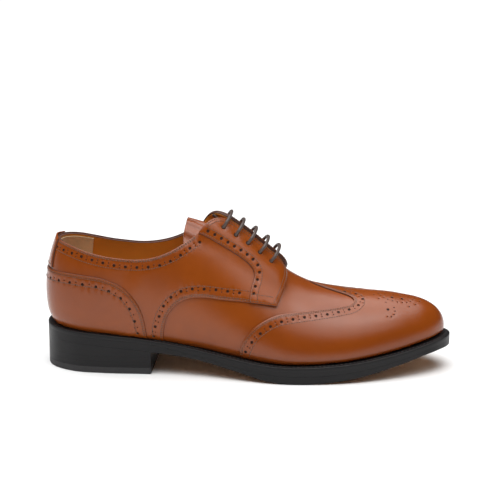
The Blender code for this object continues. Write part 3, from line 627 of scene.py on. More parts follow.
def new_mesh(name, points, faces, finishes, paint=None, sharp=42.0):
    mesh = bpy.data.meshes.new(name)
    used = np.zeros(len(points), bool)
    for face in faces:
        used[face] = True
    index = np.cumsum(used) - 1
    corners = [tuple(p) for p in np.asarray(points)[used]]
    mesh.from_pydata(corners, [], [[int(index[k]) for k in f] for f in faces])
    for finish in finishes:
        mesh.materials.append(finish)
    if paint is not None:
        mesh.polygons.foreach_set("material_index", np.array(paint, np.int32))
    mesh.shade_smooth()
    mesh.set_sharp_from_angle(angle=math.radians(sharp))
    mesh.validate()
    mesh.update()
    thing = bpy.data.objects.new(name, mesh)
    bpy.context.scene.collection.objects.link(thing)
    return thing


def tube_faces(length, corners):
    """Faces of a tube of so many rings and corners, closed at both ends."""
    faces = []
    for n in range(length - 1):
        for k in range(corners):
            a, b = n * corners + k, n * corners + (k + 1) % corners
            faces.append([a, b, b + corners, a + corners])
    return faces + [list(range(corners))[::-1], [(length - 1) * corners + k for k in range(corners)]]


def settle(thing, slot, *nodes):
    """The piece rides on the shoe and stands for the frame's nodes, which it hides; slot is not used."""
    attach(thing, BODY)
    if nodes:
        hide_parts(*nodes)
    return thing


# Shader expressions -------------------------------------------------------------------------------

class Term:
    """A shader socket that can be used in Python expressions."""

    def __init__(self, finish, socket):
        self.finish, self.socket = finish, socket

    def maths(self, operation, first, second):
        return self.finish.node("ShaderNodeMath", {"operation": operation}, {0: first, 1: second})

    def __add__(self, other):
        return self.maths("ADD", self, other)

    __radd__ = __add__

    def __sub__(self, other):
        return self.maths("SUBTRACT", self, other)

    def __rsub__(self, other):
        return self.maths("SUBTRACT", other, self)

    def __mul__(self, other):
        return self.maths("MULTIPLY", self, other)

    __rmul__ = __mul__


class Finish:
    """A material and the nodes that make it."""

    def __init__(self, name):
        self.material = bpy.data.materials.new(name)
        self.material.use_nodes = True
        self.tree = self.material.node_tree
        self.shader = self.tree.nodes["Principled BSDF"]
        self.spot = self.node("ShaderNodeTexCoord", {}, {}, "Object")

    def node(self, kind, settings, inputs, output=0):
        new = self.tree.nodes.new(kind)
        for key, value in settings.items():
            setattr(new, key, value)
        for key, value in inputs.items():
            self.feed(new.inputs[key], value)
        return Term(self, new.outputs[output])

    def feed(self, socket, value):
        if isinstance(value, Term):
            self.tree.links.new(value.socket, socket)
        elif isinstance(value, (tuple, list)) and len(value) == 3 and socket.type == "RGBA":
            socket.default_value = (*value, 1)
        else:
            socket.default_value = value

    def noise(self, scale, detail=2.0, rough=0.5, stretch=None):
        spot = self.spot
        if stretch:
            spot = self.node("ShaderNodeVectorMath", {"operation": "MULTIPLY"}, {0: spot, 1: stretch})
        return self.node("ShaderNodeTexNoise", {}, {"Vector": spot, "Scale": scale, "Detail": detail,
                                                    "Roughness": rough}, "Fac")

    def cells(self, scale):
        return self.node("ShaderNodeTexVoronoi", {"feature": "DISTANCE_TO_EDGE"},
                         {"Vector": self.spot, "Scale": scale}, "Distance")

    def band(self, value, low, high):
        """0 below low, 1 above high, smooth between."""
        return self.node("ShaderNodeMapRange", {"interpolation_type": "SMOOTHSTEP"},
                         {"Value": value, "From Min": low, "From Max": high})

    def mix(self, factor, first, second):
        return self.node("ShaderNodeMix", {"data_type": "RGBA"}, {0: factor, 6: first, 7: second}, 2)

    def bump(self, height, depth, strength=1.0):
        return self.node("ShaderNodeBump", {}, {"Height": height, "Distance": depth, "Strength": strength})

    def dress(self, **sockets):
        """Sets the shader's sockets by name, with _ for a space."""
        for key, value in sockets.items():
            self.feed(self.shader.inputs[key.replace("_", " ")], value)
        return self.material


FINISHES = {}


def finish(name):
    """The finish of that name, made on first use."""
    if name not in FINISHES:
        FINISHES[name] = FINISH_MAKERS[name](bpy.context.scene.shoe_colours)
    return FINISHES[name]


def deeper(colour, factor):
    return tuple(c * factor for c in colour[:3])


def calf(colours):
    f = Finish("burnished calf")
    tan, dark = tuple(colours.calf), tuple(colours.calf_shade)
    cloud = f.band(f.noise(14.0, 3.0), 0.3, 0.72)
    mottle = f.band(f.noise(95.0, 4.0, 0.6), 0.35, 0.7)
    colour = f.mix(cloud * 0.45, tan, dark)
    colour = f.mix(mottle * 0.16, colour, deeper(tan, 0.62))
    pores = f.noise(2600.0, 2.0)
    grain = f.cells(1500.0)
    height = f.band(grain, 0.0, 0.35) * 0.6 + pores * 0.4
    rough = 0.18 + f.noise(60.0, 3.0) * 0.08 + pores * 0.05
    return f.dress(Base_Color=colour, Roughness=rough, Normal=f.bump(height, 0.00005, 0.6),
                   Specular_IOR_Level=0.45)


def edge_paint(colours):
    f = Finish("painted edge")
    rub = f.band(f.noise(300.0, 3.0), 0.35, 0.7)
    colour = f.mix(rub * 0.5, tuple(colours.edge), deeper(colours.edge, 1.9))
    return f.dress(Base_Color=colour, Roughness=0.55, Normal=f.bump(f.noise(1800.0), 0.00005))


# Dark brown of the walls and floors of punched holes and of the walls of lace holes: partly the dark underlay
# and polish of real holes, partly painted shade for the shaded leather that a hole punched through would
# show.
def hole_painted_shade(colours):
    f = Finish("punched hole")
    colour = f.mix(f.noise(900.0), deeper(colours.edge, 0.35), deeper(colours.edge, 0.7))
    return f.dress(Base_Color=colour, Roughness=0.9)


def thread(colours):
    f = Finish("linen thread")
    ply = f.noise(2200.0, 2.0)
    colour = f.mix(ply, tuple(colours.thread), deeper(colours.thread, 0.6))
    return f.dress(Base_Color=colour, Roughness=0.6, Normal=f.bump(ply, 0.00006))


def dark_thread(colours):
    f = Finish("waxed black thread")
    ply = f.noise(1800.0, 2.0)
    colour = f.mix(ply, (0.012, 0.011, 0.011), (0.03, 0.027, 0.026))
    return f.dress(Base_Color=colour, Roughness=0.45, Normal=f.bump(ply, 0.0001))


def lining_leather(colours):
    f = Finish("lining leather")
    cloud = f.band(f.noise(22.0, 4.0), 0.3, 0.7)
    colour = f.mix(cloud * 0.6, tuple(colours.lining), deeper(colours.lining, 0.72))
    pores = f.cells(1100.0)
    return f.dress(Base_Color=colour, Roughness=0.5 + cloud * 0.1, Specular_IOR_Level=0.3,
                   Normal=f.bump(f.band(pores, 0.0, 0.3), 0.00006, 0.7))


def suede(colours):
    f = Finish("suede grip")
    nap = f.noise(700.0, 5.0, 0.7)
    drift = f.band(f.noise(40.0, 3.0, 0.6, (1.0, 1.0, 2.5)), 0.35, 0.65)
    colour = f.mix(drift * 0.5, tuple(colours.suede), deeper(colours.suede, 0.68))
    colour = f.mix(nap * 0.4, colour, deeper(colours.suede, 1.25))
    return f.dress(Base_Color=colour, Roughness=0.95, Sheen_Weight=0.3, Sheen_Roughness=0.5,
                   Normal=f.bump(nap, 0.0003, 0.8))


def sole_edge(colours):
    f = Finish("dressed sole edge")
    layers = f.noise(500.0, 2.0, 0.5, (0.05, 0.05, 1.0))
    scuff = f.band(f.noise(70.0, 4.0), 0.4, 0.75)
    colour = f.mix(scuff * 0.5, tuple(colours.sole), deeper(colours.sole, 1.8))
    rough = 0.36 + scuff * 0.14 + layers * 0.06
    return f.dress(Base_Color=colour, Roughness=rough, Specular_IOR_Level=0.26,
                   Normal=f.bump(layers * 0.5 + f.noise(900.0, 3.0) * 0.5, 0.00005, 0.6))


def sole_bottom(colours):
    f = Finish("natural sole leather")
    cloud = f.band(f.noise(18.0, 5.0, 0.6), 0.3, 0.7)
    fibre = f.noise(500.0, 3.0, 0.6, (1.0, 0.35, 1.0))
    colour = f.mix(cloud * 0.6, (0.36, 0.19, 0.085), (0.27, 0.125, 0.05))
    colour = f.mix(fibre * 0.35, colour, (0.2, 0.09, 0.035))
    return f.dress(Base_Color=colour, Roughness=0.55, Normal=f.bump(fibre, 0.00008, 0.6))


def rubber(colours):
    f = Finish("heel rubber")
    speck = f.noise(1400.0, 2.0)
    colour = f.mix(speck * 0.6, (0.018, 0.017, 0.018), (0.035, 0.033, 0.034))
    return f.dress(Base_Color=colour, Roughness=0.62, Normal=f.bump(speck, 0.00008, 0.7))


def brass(colours):
    f = Finish("brass nail")
    tarnish = f.band(f.noise(400.0, 3.0), 0.4, 0.7)
    colour = f.mix(tarnish * 0.6, (0.72, 0.5, 0.18), (0.3, 0.18, 0.07))
    return f.dress(Base_Color=colour, Metallic=1.0, Roughness=0.3 + tarnish * 0.25)


def steel(colours):
    f = Finish("spring steel")
    brushed = f.noise(300.0, 3.0, 0.5, (0.05, 1.0, 1.0))
    colour = f.mix(brushed * 0.5, (0.5, 0.5, 0.52), (0.32, 0.32, 0.34))
    return f.dress(Base_Color=colour, Metallic=1.0, Roughness=0.28 + brushed * 0.15)


def lace_cord(colours):
    f = Finish("waxed cord")
    fibre = f.noise(1600.0, 3.0)
    colour = f.mix(fibre * 0.7, tuple(colours.lace), deeper(colours.lace, 2.1))
    return f.dress(Base_Color=colour, Roughness=0.42 + fibre * 0.15, Coat_Weight=0.12, Coat_Roughness=0.3,
                   Normal=f.bump(fibre, 0.0001, 0.6))


def insole_leather(colours):
    f = Finish("insole leather")
    cloud = f.band(f.noise(25.0, 4.0), 0.3, 0.7)
    colour = f.mix(cloud * 0.6, (0.40, 0.20, 0.075), (0.29, 0.125, 0.04))
    return f.dress(Base_Color=colour, Roughness=0.6, Normal=f.bump(f.noise(900.0, 3.0), 0.00008, 0.6))


def cork(colours):
    f = Finish("cork filler")
    crumb = f.node("ShaderNodeTexVoronoi", {"feature": "F1"}, {"Vector": f.spot, "Scale": 420.0}, "Color")
    colour = f.mix(0.5, f.mix(crumb * 1.0, (0.34, 0.19, 0.09), (0.16, 0.08, 0.035)), (0.28, 0.15, 0.07))
    return f.dress(Base_Color=colour, Roughness=0.9, Normal=f.bump(f.cells(420.0), 0.0004, 0.8))


def stiffener(colours):
    f = Finish("leatherboard")
    fibre = f.noise(350.0, 5.0, 0.7)
    colour = f.mix(fibre, (0.32, 0.21, 0.12), (0.2, 0.12, 0.06))
    return f.dress(Base_Color=colour, Roughness=0.85, Normal=f.bump(fibre, 0.0002, 0.6))


FINISH_MAKERS = {
    "calf": calf, "edge": edge_paint, "hole": hole_painted_shade, "thread": thread, "dark_thread": dark_thread,
    "lining": lining_leather, "suede": suede, "sole_edge": sole_edge, "sole_bottom": sole_bottom,
    "rubber": rubber, "brass": brass, "steel": steel, "lace": lace_cord, "insole": insole_leather,
    "cork": cork, "stiffener": stiffener,
}


def upper_finishes():
    return [finish("calf"), finish("edge"), finish("hole")]


# Patterns -----------------------------------------------------------------------------------------

def upto(line, place):
    """Part of a line of places before the one nearest to a place, which becomes its last."""
    gap = np.linalg.norm((line - place) * (1, FLAT), axis=1)
    return np.concatenate([line[:gap.argmin()], [place]])


def beyond(line, place):
    gap = np.linalg.norm((line - place) * (1, FLAT), axis=1)
    return np.concatenate([[place], line[gap.argmin() + 1:]])


COLLAR_LINE, THROAT_LINE, FRONT_LINE = bend(COLLAR), bend(THROAT), bend(QUARTER_FRONT)
FOOT_LINE, WING_LINE, COUNTER_LINE = bend(QUARTER_FOOT), bend(WING_EDGE), bend(COUNTER_EDGE)
FACING_LINE = bend(FACING_EDGE)
_end = FACING_LINE[-1]
FACING_END = np.array([_end[0], np.interp(_end[0], FOOT_LINE[:, 0], FOOT_LINE[:, 1])])


def quarter_outline():
    return outline((PAINTED, straight((0.3, 0.0), (101.2, 0.0))), (PAINTED, FOOT_LINE), (PAINTED, FRONT_LINE),
                   (PAINTED, THROAT_LINE), (PAINTED, COLLAR_LINE),
                   (FOLDED, straight((0.3, 0.506), (0.3, 0.0))))


def facing_outline():
    foot = np.interp(FACING_LINE[:, 0], FOOT_LINE[:, 0], FOOT_LINE[:, 1])
    edge = FACING_LINE[FACING_LINE[:, 1] > foot + 0.008]
    return outline((PAINTED, np.concatenate([edge, [FACING_END]])), (PAINTED, beyond(FOOT_LINE, FACING_END)),
                   (PAINTED, FRONT_LINE), (PAINTED, THROAT_LINE))


def wing_outline():
    return outline((PAINTED, straight((159.6, 0.0), (TOE, 0.0))), (WELD, straight((TOE, 0.0), (TOE, 1.0))),
                   (WELD, straight((TOE, 1.0), (212.5, 1.0))), (PAINTED, WING_LINE))


def vamp_outline():
    return outline((FOLDED, straight((90.0, 0.0), (TOE, 0.0))), (WELD, straight((TOE, 0.0), (TOE, 1.0))),
                   (WELD, straight((TOE, 1.0), (174.4, 1.0))), (FOLDED, bend(VAMP_BACK)))


def counter_outline():
    return outline((PAINTED, straight((0.0, 0.0), (88.9, 0.0))), (PAINTED, COUNTER_LINE),
                   (WELD, straight((0.0, 0.3155), (0.0, 0.0))))


def strap_outline():
    top = bend([(13.3, 0.503), (9, 0.507), (4, 0.514), (0, 0.517)])
    return outline((PAINTED, straight((0.0, 0.325), (15.0, 0.325), 1.2)), (PAINTED, bend(STRAP_SIDE)),
                   (FOLDED, top), (WELD, straight((0.0, 0.517), (0.0, 0.325))))


def row_places(name):
    """Big holes of a punched row, evenly spaced on the outer side, and the small pairs between them."""
    points, count, paired = PUNCHED_ROWS[name]
    line = bend(points, 0.5, 12)
    here = LAST.place(OUTER, *line.T, np.full(len(line), MID_LEVEL))
    key = distance_along(here)
    spots = np.linspace(0, key[-1], count)
    big = columns_at(spots, key, line)
    if not paired:
        return big, np.zeros((0, 2))
    halves = (spots[1:] + spots[:-1]) / 2
    mid = columns_at(halves, key, line)
    ahead = columns_at(halves + 0.6, key, line)
    off = np.full(len(mid), MID_LEVEL)
    run = unit(LAST.place(OUTER, *ahead.T, off) - LAST.place(OUTER, *mid.T, off))
    across = np.cross(LAST.way(OUTER, *mid.T), run) * PAIR_GAP / 2
    step = LAST.walk(OUTER, *mid.T, off, across)[0]
    return big, np.concatenate([mid + step, mid - step])


def punched(name, sizes):
    big, small = row_places(name)
    return [(s, t, sizes.punch / MM / 2) for s, t in big] + [(s, t, sizes.pin / MM / 2) for s, t in small]


def medallion():
    """The toe's flower of small holes, as it lies on one side of the ridge."""
    goals, sizes = [], []
    for distance, angles, radius in MEDALLION_RINGS:
        for angle in angles:
            a = math.radians(angle)
            if distance * math.sin(a) > radius + 0.6:
                goals.append((distance * math.cos(a), distance * math.sin(a)))
                sizes.append(radius)
    goals.append(FLOWER_AT)
    sizes.append(1.0)
    for k in range(FLOWER_PETALS):
        a = math.radians(-30 + 31 * k)
        goals.append((FLOWER_AT[0] + FLOWER_PETAL * math.cos(a), FLOWER_AT[1] + FLOWER_PETAL * math.sin(a)))
        sizes.append(0.5)
    goal = np.array([(MEDALLION_X + x, -y, 0.0) for x, y in goals])
    grid = np.meshgrid(np.arange(230.0, TOE - 3, 4.0), np.arange(0.3, 0.98, 0.03))
    near_s, near_t = (g.ravel() for g in grid)
    near = LAST.place(OUTER, near_s, near_t, np.full(len(near_s), WING_LEVEL))
    pick = np.linalg.norm(goal[:, None, :2] - near[:, :2], axis=-1).argmin(1)
    s, t = near_s[pick], near_t[pick]
    off = np.full(len(goal), WING_LEVEL)
    for _ in range(25):
        gap = goal - LAST.place(OUTER, s, t, off)
        gap[:, 2] = 0
        way = LAST.way(OUTER, s, t)
        gap = gap - way * (gap * way).sum(-1, keepdims=True) * 0.5
        step = LAST.walk(OUTER, s, t, off, gap * 0.5)[0]
        s, t = np.clip(s + step[:, 0], 200, TOE - 4), np.clip(t + step[:, 1], 0.3, 0.985)
    return [(float(a), float(b), r) for a, b, r in zip(s, t, sizes)]


def eyelet_axis(side, place):
    """Middle and direction of a lace hole, which leans from the facing towards the ridge."""
    s, t = np.array([place[0]]), np.array([place[1]])
    way = LAST.raw_way(side, s, t)[0]
    middle = LAST.bare(side, s, t)[0] + way * EYELET_MIDDLE
    ridge_way = LAST.raw_way(side, s, np.array([0.99]))[0]
    return middle, unit(way * 0.4 + ridge_way * 0.6), way


def eyelets_at(lift):
    """Eyelet centres in a layer that lies `lift` mm above the middle of the laced layers."""
    holes = []
    for place in EYELETS:
        middle, axis, way = eyelet_axis(OUTER, place)
        drift = axis * (lift / (axis @ way)) - way * lift
        s, t = np.array([place[0]]), np.array([place[1]])
        step = LAST.walk(OUTER, s, t, np.array([EYELET_MIDDLE]), drift[None])[0][0]
        holes.append((place[0] + step[0], place[1] + step[1], EYELET_RADIUS))
    return holes


# Stitching ----------------------------------------------------------------------------------------

def beside(line, gap):
    """A line moved to its left along the surface."""
    s, t = line.T
    off = np.full(len(s), MID_LEVEL)
    here = LAST.place(OUTER, s, t, off)
    run = unit(np.gradient(here, axis=0))
    left = np.cross(LAST.way(OUTER, s, t), run)
    step = LAST.walk(OUTER, s, t, off, left * gap)[0]
    flat_run = np.gradient(line * (1, FLAT), axis=0)
    turned = flat_run[:, 0] * step[:, 1] * FLAT - flat_run[:, 1] * step[:, 0] < 0
    step[turned if gap > 0 else ~turned] *= -1
    return line + step


def stitch_row(side, line, high, pitch):
    """Middles, runs and outward directions of the stitches along a line."""
    s, t = line.T
    lift = high(s, t) + 0.02
    here = LAST.place(side, s, t, lift)
    key = distance_along(here)
    spots = np.arange(pitch / 2, key[-1] - pitch / 3, pitch)
    middle = columns_at(spots, key, here)
    ahead = columns_at(spots + pitch * 0.3, key, here)
    back = columns_at(spots - pitch * 0.3, key, here)
    ways = LAST.way(side, s, t)
    way = unit(columns_at(spots, key, ways))
    return middle, unit(ahead - back), way


def sew(name, rows, radius, length, material, slot):
    """One mesh of short rounded stitches that dip into the leather at both ends."""
    middle = np.concatenate([r[0] for r in rows])
    run = np.concatenate([r[1] for r in rows])
    way = np.concatenate([r[2] for r in rows])
    way = unit(way - run * (way * run).sum(-1, keepdims=True))
    across = np.cross(run, way)
    stations = [(-0.5, 0.35, -0.6), (-0.36, 0.85, -0.1), (0.0, 1.0, 0.15), (0.36, 0.85, -0.1),
                (0.5, 0.35, -0.6)]
    corners = 6
    template = []
    for along, fat, rise in stations:
        for k in range(corners):
            a = 2 * math.pi * k / corners
            lift = math.sin(a) * radius * fat + rise * radius
            template.append((along * length, math.cos(a) * radius * fat, lift))
    template = np.array(template)
    faces = tube_faces(len(stations), corners)
    along, aside, above = (template[None, :, i:i + 1] for i in range(3))
    points = middle[:, None] + run[:, None] * along + across[:, None] * aside + way[:, None] * above
    size = len(template)
    every = [[k + n * size for k in face] for n in range(len(middle)) for face in faces]
    thing = new_mesh(name, world(points.reshape(-1, 3)), every, [material], sharp=70)
    return settle(thing, slot)


# Bottom -------------------------------------------------------------------------------------------

def sole_edge_out(x):
    return table(SOLE_EDGE, x)


def tread(x):
    return np.maximum(LAST.feather(x) - table(SOLE_DEPTH, x), 0.0)


def side_run(side, start, stop, out, step=2.5):
    """Plan points beside the feather edge from x = start to x = stop."""
    first, last = LAST.station_at(start), LAST.station_at(stop)
    s = np.linspace(first, last, max(int(abs(last - first) / step), 3))
    xy, way, _ = LAST.plan(side, s)
    return xy + way * out(LAST.column(side, s, 0))[:, None]


def plan_loop(start, stop, out, step=2.5):
    """Closed plan outline, anticlockwise from above: outer side towards the toe, inner side back."""
    outer = side_run(OUTER, start, stop, out, step)
    inner = side_run(INNER, start, stop, out, step)[::-1]
    ends = []
    for a, b in ((outer[-1], inner[0]), (inner[-1], outer[0])):
        count = int(np.linalg.norm(b - a) / step)
        ends.append(np.linspace(a, b, count + 1)[1:-1] if count > 1 else np.zeros((0, 2)))
    loop = np.concatenate([outer, ends[0], inner, ends[1]])
    keep = np.linalg.norm(np.roll(loop, -1, 0) - loop, axis=1) > 0.2
    return loop[keep]


def loop_inwards(loop, distance):
    run = unit(np.roll(loop, -1, 0) - loop)
    before = np.roll(run, 1, 0)
    normal = unit(run + before)
    miter = 1 / np.clip((normal * run).sum(-1), 0.5, 1)
    inward = np.stack([-normal[:, 1], normal[:, 0]], -1)
    return loop + inward * (distance * miter)[:, None]


def plate(name, loop, top, foot, finishes, soften, foot_paint=0):
    """A flat piece of the bottom: rounded edges, and skins that follow the functions top(x) and foot(x)."""
    profile = [(soften * 2.2, 0.0), (soften * 0.9, 0.04), (soften * 0.25, 0.35), (0.0, 1.0)]
    if soften < 0.25:
        profile.append((0.0, 2.5))   # keeps the shading of the rounded edge off the flat side
    rows = [(inset, "top", drop * soften) for inset, drop in profile]
    rows += [(inset, "foot", drop * soften) for inset, drop in profile[::-1]]
    points, rings = [], []
    for inset, kind, drop in rows:
        ring = loop_inwards(loop, inset)
        x = ring[:, 0]
        z = top(x) - drop if kind == "top" else foot(x) + drop
        rings.append(list(range(len(points), len(points) + len(ring))))
        points += [(*p, h) for p, h in zip(ring, z)]
    faces, paint = [], []
    count = len(loop)
    for n in range(len(rings) - 1):
        for k in range(count):
            a, b = k, (k + 1) % count
            faces.append([rings[n][a], rings[n + 1][a], rings[n + 1][b], rings[n][b]])
            paint.append(0)
    for ring, height, turn in ((rings[0], top, False), (rings[-1], foot, True)):
        flat = np.array([points[k][:2] for k in ring])
        low, high = flat.min(0), flat.max(0)
        gx, gy = np.meshgrid(np.arange(low[0] + 3, high[0], 6.0), np.arange(low[1] + 3, high[1], 6.0))
        seeds = np.stack([gx.ravel(), gy.ravel()], -1)
        inside, gap = inside_polygon(seeds, flat)
        seeds = seeds[inside & (gap > 2.5)]
        verts = [Vector(p) for p in np.concatenate([flat, seeds])]
        out = delaunay_2d_cdt(verts, [], [list(range(count))], 1, 1e-5, True)
        number = {}
        for k, old in enumerate(out[3]):
            spot = out[0][k]
            if old and old[0] < count:
                number[k] = ring[old[0]]
            else:
                number[k] = len(points)
                points.append((spot[0], spot[1], float(height(np.array([spot[0]]))[0])))
        for tri, origin in zip(out[2], out[5]):
            if origin:
                face = [number[k] for k in tri]
                faces.append(face[::-1] if turn else face)
                paint.append(foot_paint if turn else 0)
    return new_mesh(name, world(points), faces, finishes, paint, 50)


def loft(name, sections, finishes):
    """A section carried along a path and capped at both ends; sections is an array path x corners x 3."""
    faces = tube_faces(*sections.shape[:2])
    return new_mesh(name, world(sections.reshape(-1, 3)), faces, finishes, None, 50)


def band_path(start, stop, turn, step=2.0):
    first, last = LAST.station_at(start), LAST.station_at(stop)
    s = np.linspace(first, last, int(abs(last - first) / step))
    if turn == "toe":
        return [(OUTER, k) for k in s] + [(INNER, k) for k in s[::-1][1:]]
    return [(OUTER, k) for k in s[::-1]] + [(INNER, k) for k in s[1:]]


def edge_band(name, path, section, finishes):
    """Welt or rand: section(x, feather z, outer edge) gives its (outwards, z) corners."""
    rows = []
    for side, s in path:
        s = np.array([s])
        xy, way, z = LAST.plan(side, s)
        x = LAST.column(side, s, 0)
        corners = section(float(x[0]), float(z[0]), float(sole_edge_out(x)[0]))
        rows.append([(*(xy[0] + way[0] * out), height) for out, height in corners])
    return loft(name, np.array(rows), finishes)


def welt_section(x, z, edge):
    top, foot = z - WELT_TOP, z - WELT_FOOT
    return [(0.9, top), (1.4, top + 0.05), (edge * 0.5, top + 0.12), (edge - 1.3, top + 0.1),
            (edge - 0.45, top + 0.02), (edge - 0.12, top - 0.2), (edge, top - 0.55), (edge, foot + 0.1),
            (edge - 0.03, foot + 0.02), (edge - 0.15, foot), (0.9, foot)][::-1]


# Settings -----------------------------------------------------------------------------------------

def colour_property(name, description, value):
    return FloatVectorProperty(name=name, description=description, subtype="COLOR", size=3, min=0.0, max=1.0,
                               default=value)


def length_property(name, description, value):
    return FloatProperty(name=name, description=description, default=value, unit="LENGTH", min=0.0,
                         precision=5)


class ShoeColours(bpy.types.PropertyGroup):
    calf: colour_property("Calf", "Upper leather", (0.27, 0.055, 0.003))
    calf_shade: colour_property("Calf shade", "Upper leather where the burnish is deeper",
                                (0.16, 0.028, 0.002))
    edge: colour_property("Edge paint", "Painted cut edges", (0.07, 0.02, 0.008))
    thread: colour_property("Thread", "Upper stitching", (0.17, 0.085, 0.05))
    lining: colour_property("Lining", "Quarter and vamp lining", (0.64, 0.24, 0.03))
    suede: colour_property("Heel grip", "Suede inside the heel", (0.68, 0.50, 0.28))
    sole: colour_property("Sole edge", "Dressed edges of welt, sole and heel", (0.0065, 0.006, 0.0065))
    lace: colour_property("Lace", "Waxed cord", (0.05, 0.032, 0.026))
    floor: colour_property("Floor", "Studio floor", (0.9, 0.9, 0.9))


class ShoeSizes(bpy.types.PropertyGroup):
    stitch_pitch: length_property("Stitch pitch", "Distance between stitches of the upper", 0.0019)
    stitch_thread: length_property("Thread thickness", "Diameter of the upper thread", 0.0006)
    welt_pitch: length_property("Welt stitch pitch", "Distance between welt stitches", 0.0032)
    punch: length_property("Punch", "Diameter of the big punched holes", 0.0021)
    pin: length_property("Pin punch", "Diameter of the small punched holes", 0.0009)
    lace: length_property("Lace thickness", "Diameter of the cord", 0.0025)
    braid: IntProperty(name="Braid strands", description="Strands each way round the cord", default=4, min=2)


class ShoeStudio(bpy.types.PropertyGroup):
    sun: FloatProperty(name="Overhead light", description="Strength of the wide overhead light", default=3.6)
    spread: FloatProperty(name="Overhead spread", description="Width of the overhead light", subtype="ANGLE",
                          default=math.radians(75))
    fill: FloatProperty(name="Fill", description="Strength of the room's own light", default=0.05)
    box: FloatProperty(name="Softbox", description="Power of the softbox above the shoe", unit="POWER",
                       default=9.0)
    azimuth: FloatProperty(name="Azimuth", description="Camera's turn round the shoe", subtype="ANGLE",
                           default=math.radians(2.8))
    elevation: FloatProperty(name="Elevation", description="Camera's height above the floor",
                             subtype="ANGLE", default=math.radians(13.0))
    distance: FloatProperty(name="Distance", description="Camera to its aim point", unit="LENGTH",
                            default=1.0)
    lens: FloatProperty(name="Lens", description="Focal length on a 36 mm sensor, in mm", default=99.3)
    aim: FloatVectorProperty(name="Aim", description="Point in the middle of the view", size=3, unit="LENGTH",
                             default=tuple(np.array([-6.6, 0.0, 94.8]) * MM + SHIFT))


# Operators ----------------------------------------------------------------------------------------

class SHOE_OT_vamp(bpy.types.Operator):
    """Cut the vamp and the punched wing cap with its medallion"""
    bl_idname = "shoe.vamp"
    bl_label = "Vamp and wing cap"

    def execute(self, context):
        sizes = context.scene.shoe_sizes
        vamp = Piece("vamp_leather", *vamp_outline(), level(VAMP[0]), level(VAMP[1]))
        settle(vamp.make(upper_finishes()), "calf", "vamp")
        wing = Piece("wing_cap_leather", *wing_outline(), level(VAMP[1] + 0.03),
                     level(WING_LEVEL), holes=punched("wing", sizes) + medallion())
        settle(wing.make(upper_finishes()), "calf", "wing_cap")
        return {"FINISHED"}


class SHOE_OT_quarters(bpy.types.Operator):
    """Cut both quarters and their raised facings, punch them and pierce the lace holes"""
    bl_idname = "shoe.quarters"
    bl_label = "Quarters and facings"

    def execute(self, context):
        sizes = context.scene.shoe_sizes
        rows = punched("collar", sizes) + punched("foot", sizes)
        for side in BOTH:
            name = SIDE_NAMES[side]
            quarter = Piece("quarter_leather_" + name, *quarter_outline(), quarter_low, quarter_high,
                            holes=rows, pierced=eyelets_at(EYELET_LAYERS["quarter"]), sides=(side,))
            settle(quarter.make(upper_finishes()), "calf", "quarter_" + name)
            facing = Piece("facing_leather_" + name, *facing_outline(), cover_low, cover_high,
                           holes=punched("facing", sizes),
                           pierced=eyelets_at(EYELET_LAYERS["facing"]), sides=(side,), grid=2.0)
            settle(facing.make(upper_finishes()), "calf", "facing_" + name)
        return {"FINISHED"}


class SHOE_OT_counter(bpy.types.Operator):
    """Cut the punched counter cover and the back strap"""
    bl_idname = "shoe.counter"
    bl_label = "Counter cover and back strap"

    def execute(self, context):
        sizes = context.scene.shoe_sizes
        cover = Piece("counter_cover_leather", *counter_outline(), cover_low, cover_high,
                      holes=punched("counter", sizes))
        settle(cover.make(upper_finishes()), "calf", "counter_cover")
        strap = Piece("back_strap_leather", *strap_outline(), cover_low, cover_high, grid=1.8)
        settle(strap.make(upper_finishes()), "calf", "back_strap")
        return {"FINISHED"}


class SHOE_OT_linings(bpy.types.Operator):
    """Line the quarters and the vamp, and set the suede heel grip"""
    bl_idname = "shoe.linings"
    bl_label = "Linings and heel grip"

    def execute(self, context):
        looks = [finish("lining"), finish("lining"), finish("hole"), finish("edge")]
        front = bend(LINING_FRONT)
        for side in BOTH:
            name = SIDE_NAMES[side]
            loop = outline((FOLDED, straight((0.3, 0.0), (146.0, 0.0))), (FOLDED, front),
                           (FOLDED, straight((186.0, 0.79), (188.0, 0.885))),
                           (FOLDED, bend(LINING_THROAT)),
                           (TRIMMED, beside_collar()), (FOLDED, straight((0.3, 0.502), (0.3, 0.0))))
            lining = Piece("quarter_lining_leather_" + name, *loop, lining_low, lining_high, sides=(side,),
                           pierced=eyelets_at(EYELET_LAYERS["lining"]), thin=0.7)
            settle(lining.make(looks), "lining", "quarter_lining_" + name)
        loop = outline((FOLDED, straight((149.0, 0.0), (TOE, 0.0))), (WELD, straight((TOE, 0.0), (TOE, 1.0))),
                       (WELD, straight((TOE, 1.0), (172.0, 1.0))), (FOLDED, bend(VAMP_LINING_BACK)))
        lining = Piece("vamp_lining_leather", *loop, level(0.0), level(LINING), thin=0.7, grid=3.0)
        settle(lining.make(looks), "lining", "vamp_lining")
        loop = outline((FOLDED, straight((0.0, 0.15), (38.0, 0.15))), (FOLDED, bend(GRIP_FRONT)),
                       (FOLDED, grip_top()), (WELD, straight((0.0, 0.488), (0.0, 0.15))))
        grip = Piece("heel_grip_suede", *loop, level(-1.0), level(-0.02), thin=0.8)
        settle(grip.make([finish("suede")] * 3), "suede", "heel_grip")
        return {"FINISHED"}


def beside_collar():
    line = COLLAR_LINE.copy()
    line[:, 1] -= 0.003
    line[0], line[-1] = (126.4, 0.665), (0.3, 0.502)
    return line


def grip_top():
    line = COLLAR_LINE[COLLAR_LINE[:, 0] < 37.0].copy()
    line[:, 1] -= 0.017
    return np.concatenate([[(38.0, 0.442)], line[:-1], [(0.0, 0.488)]])


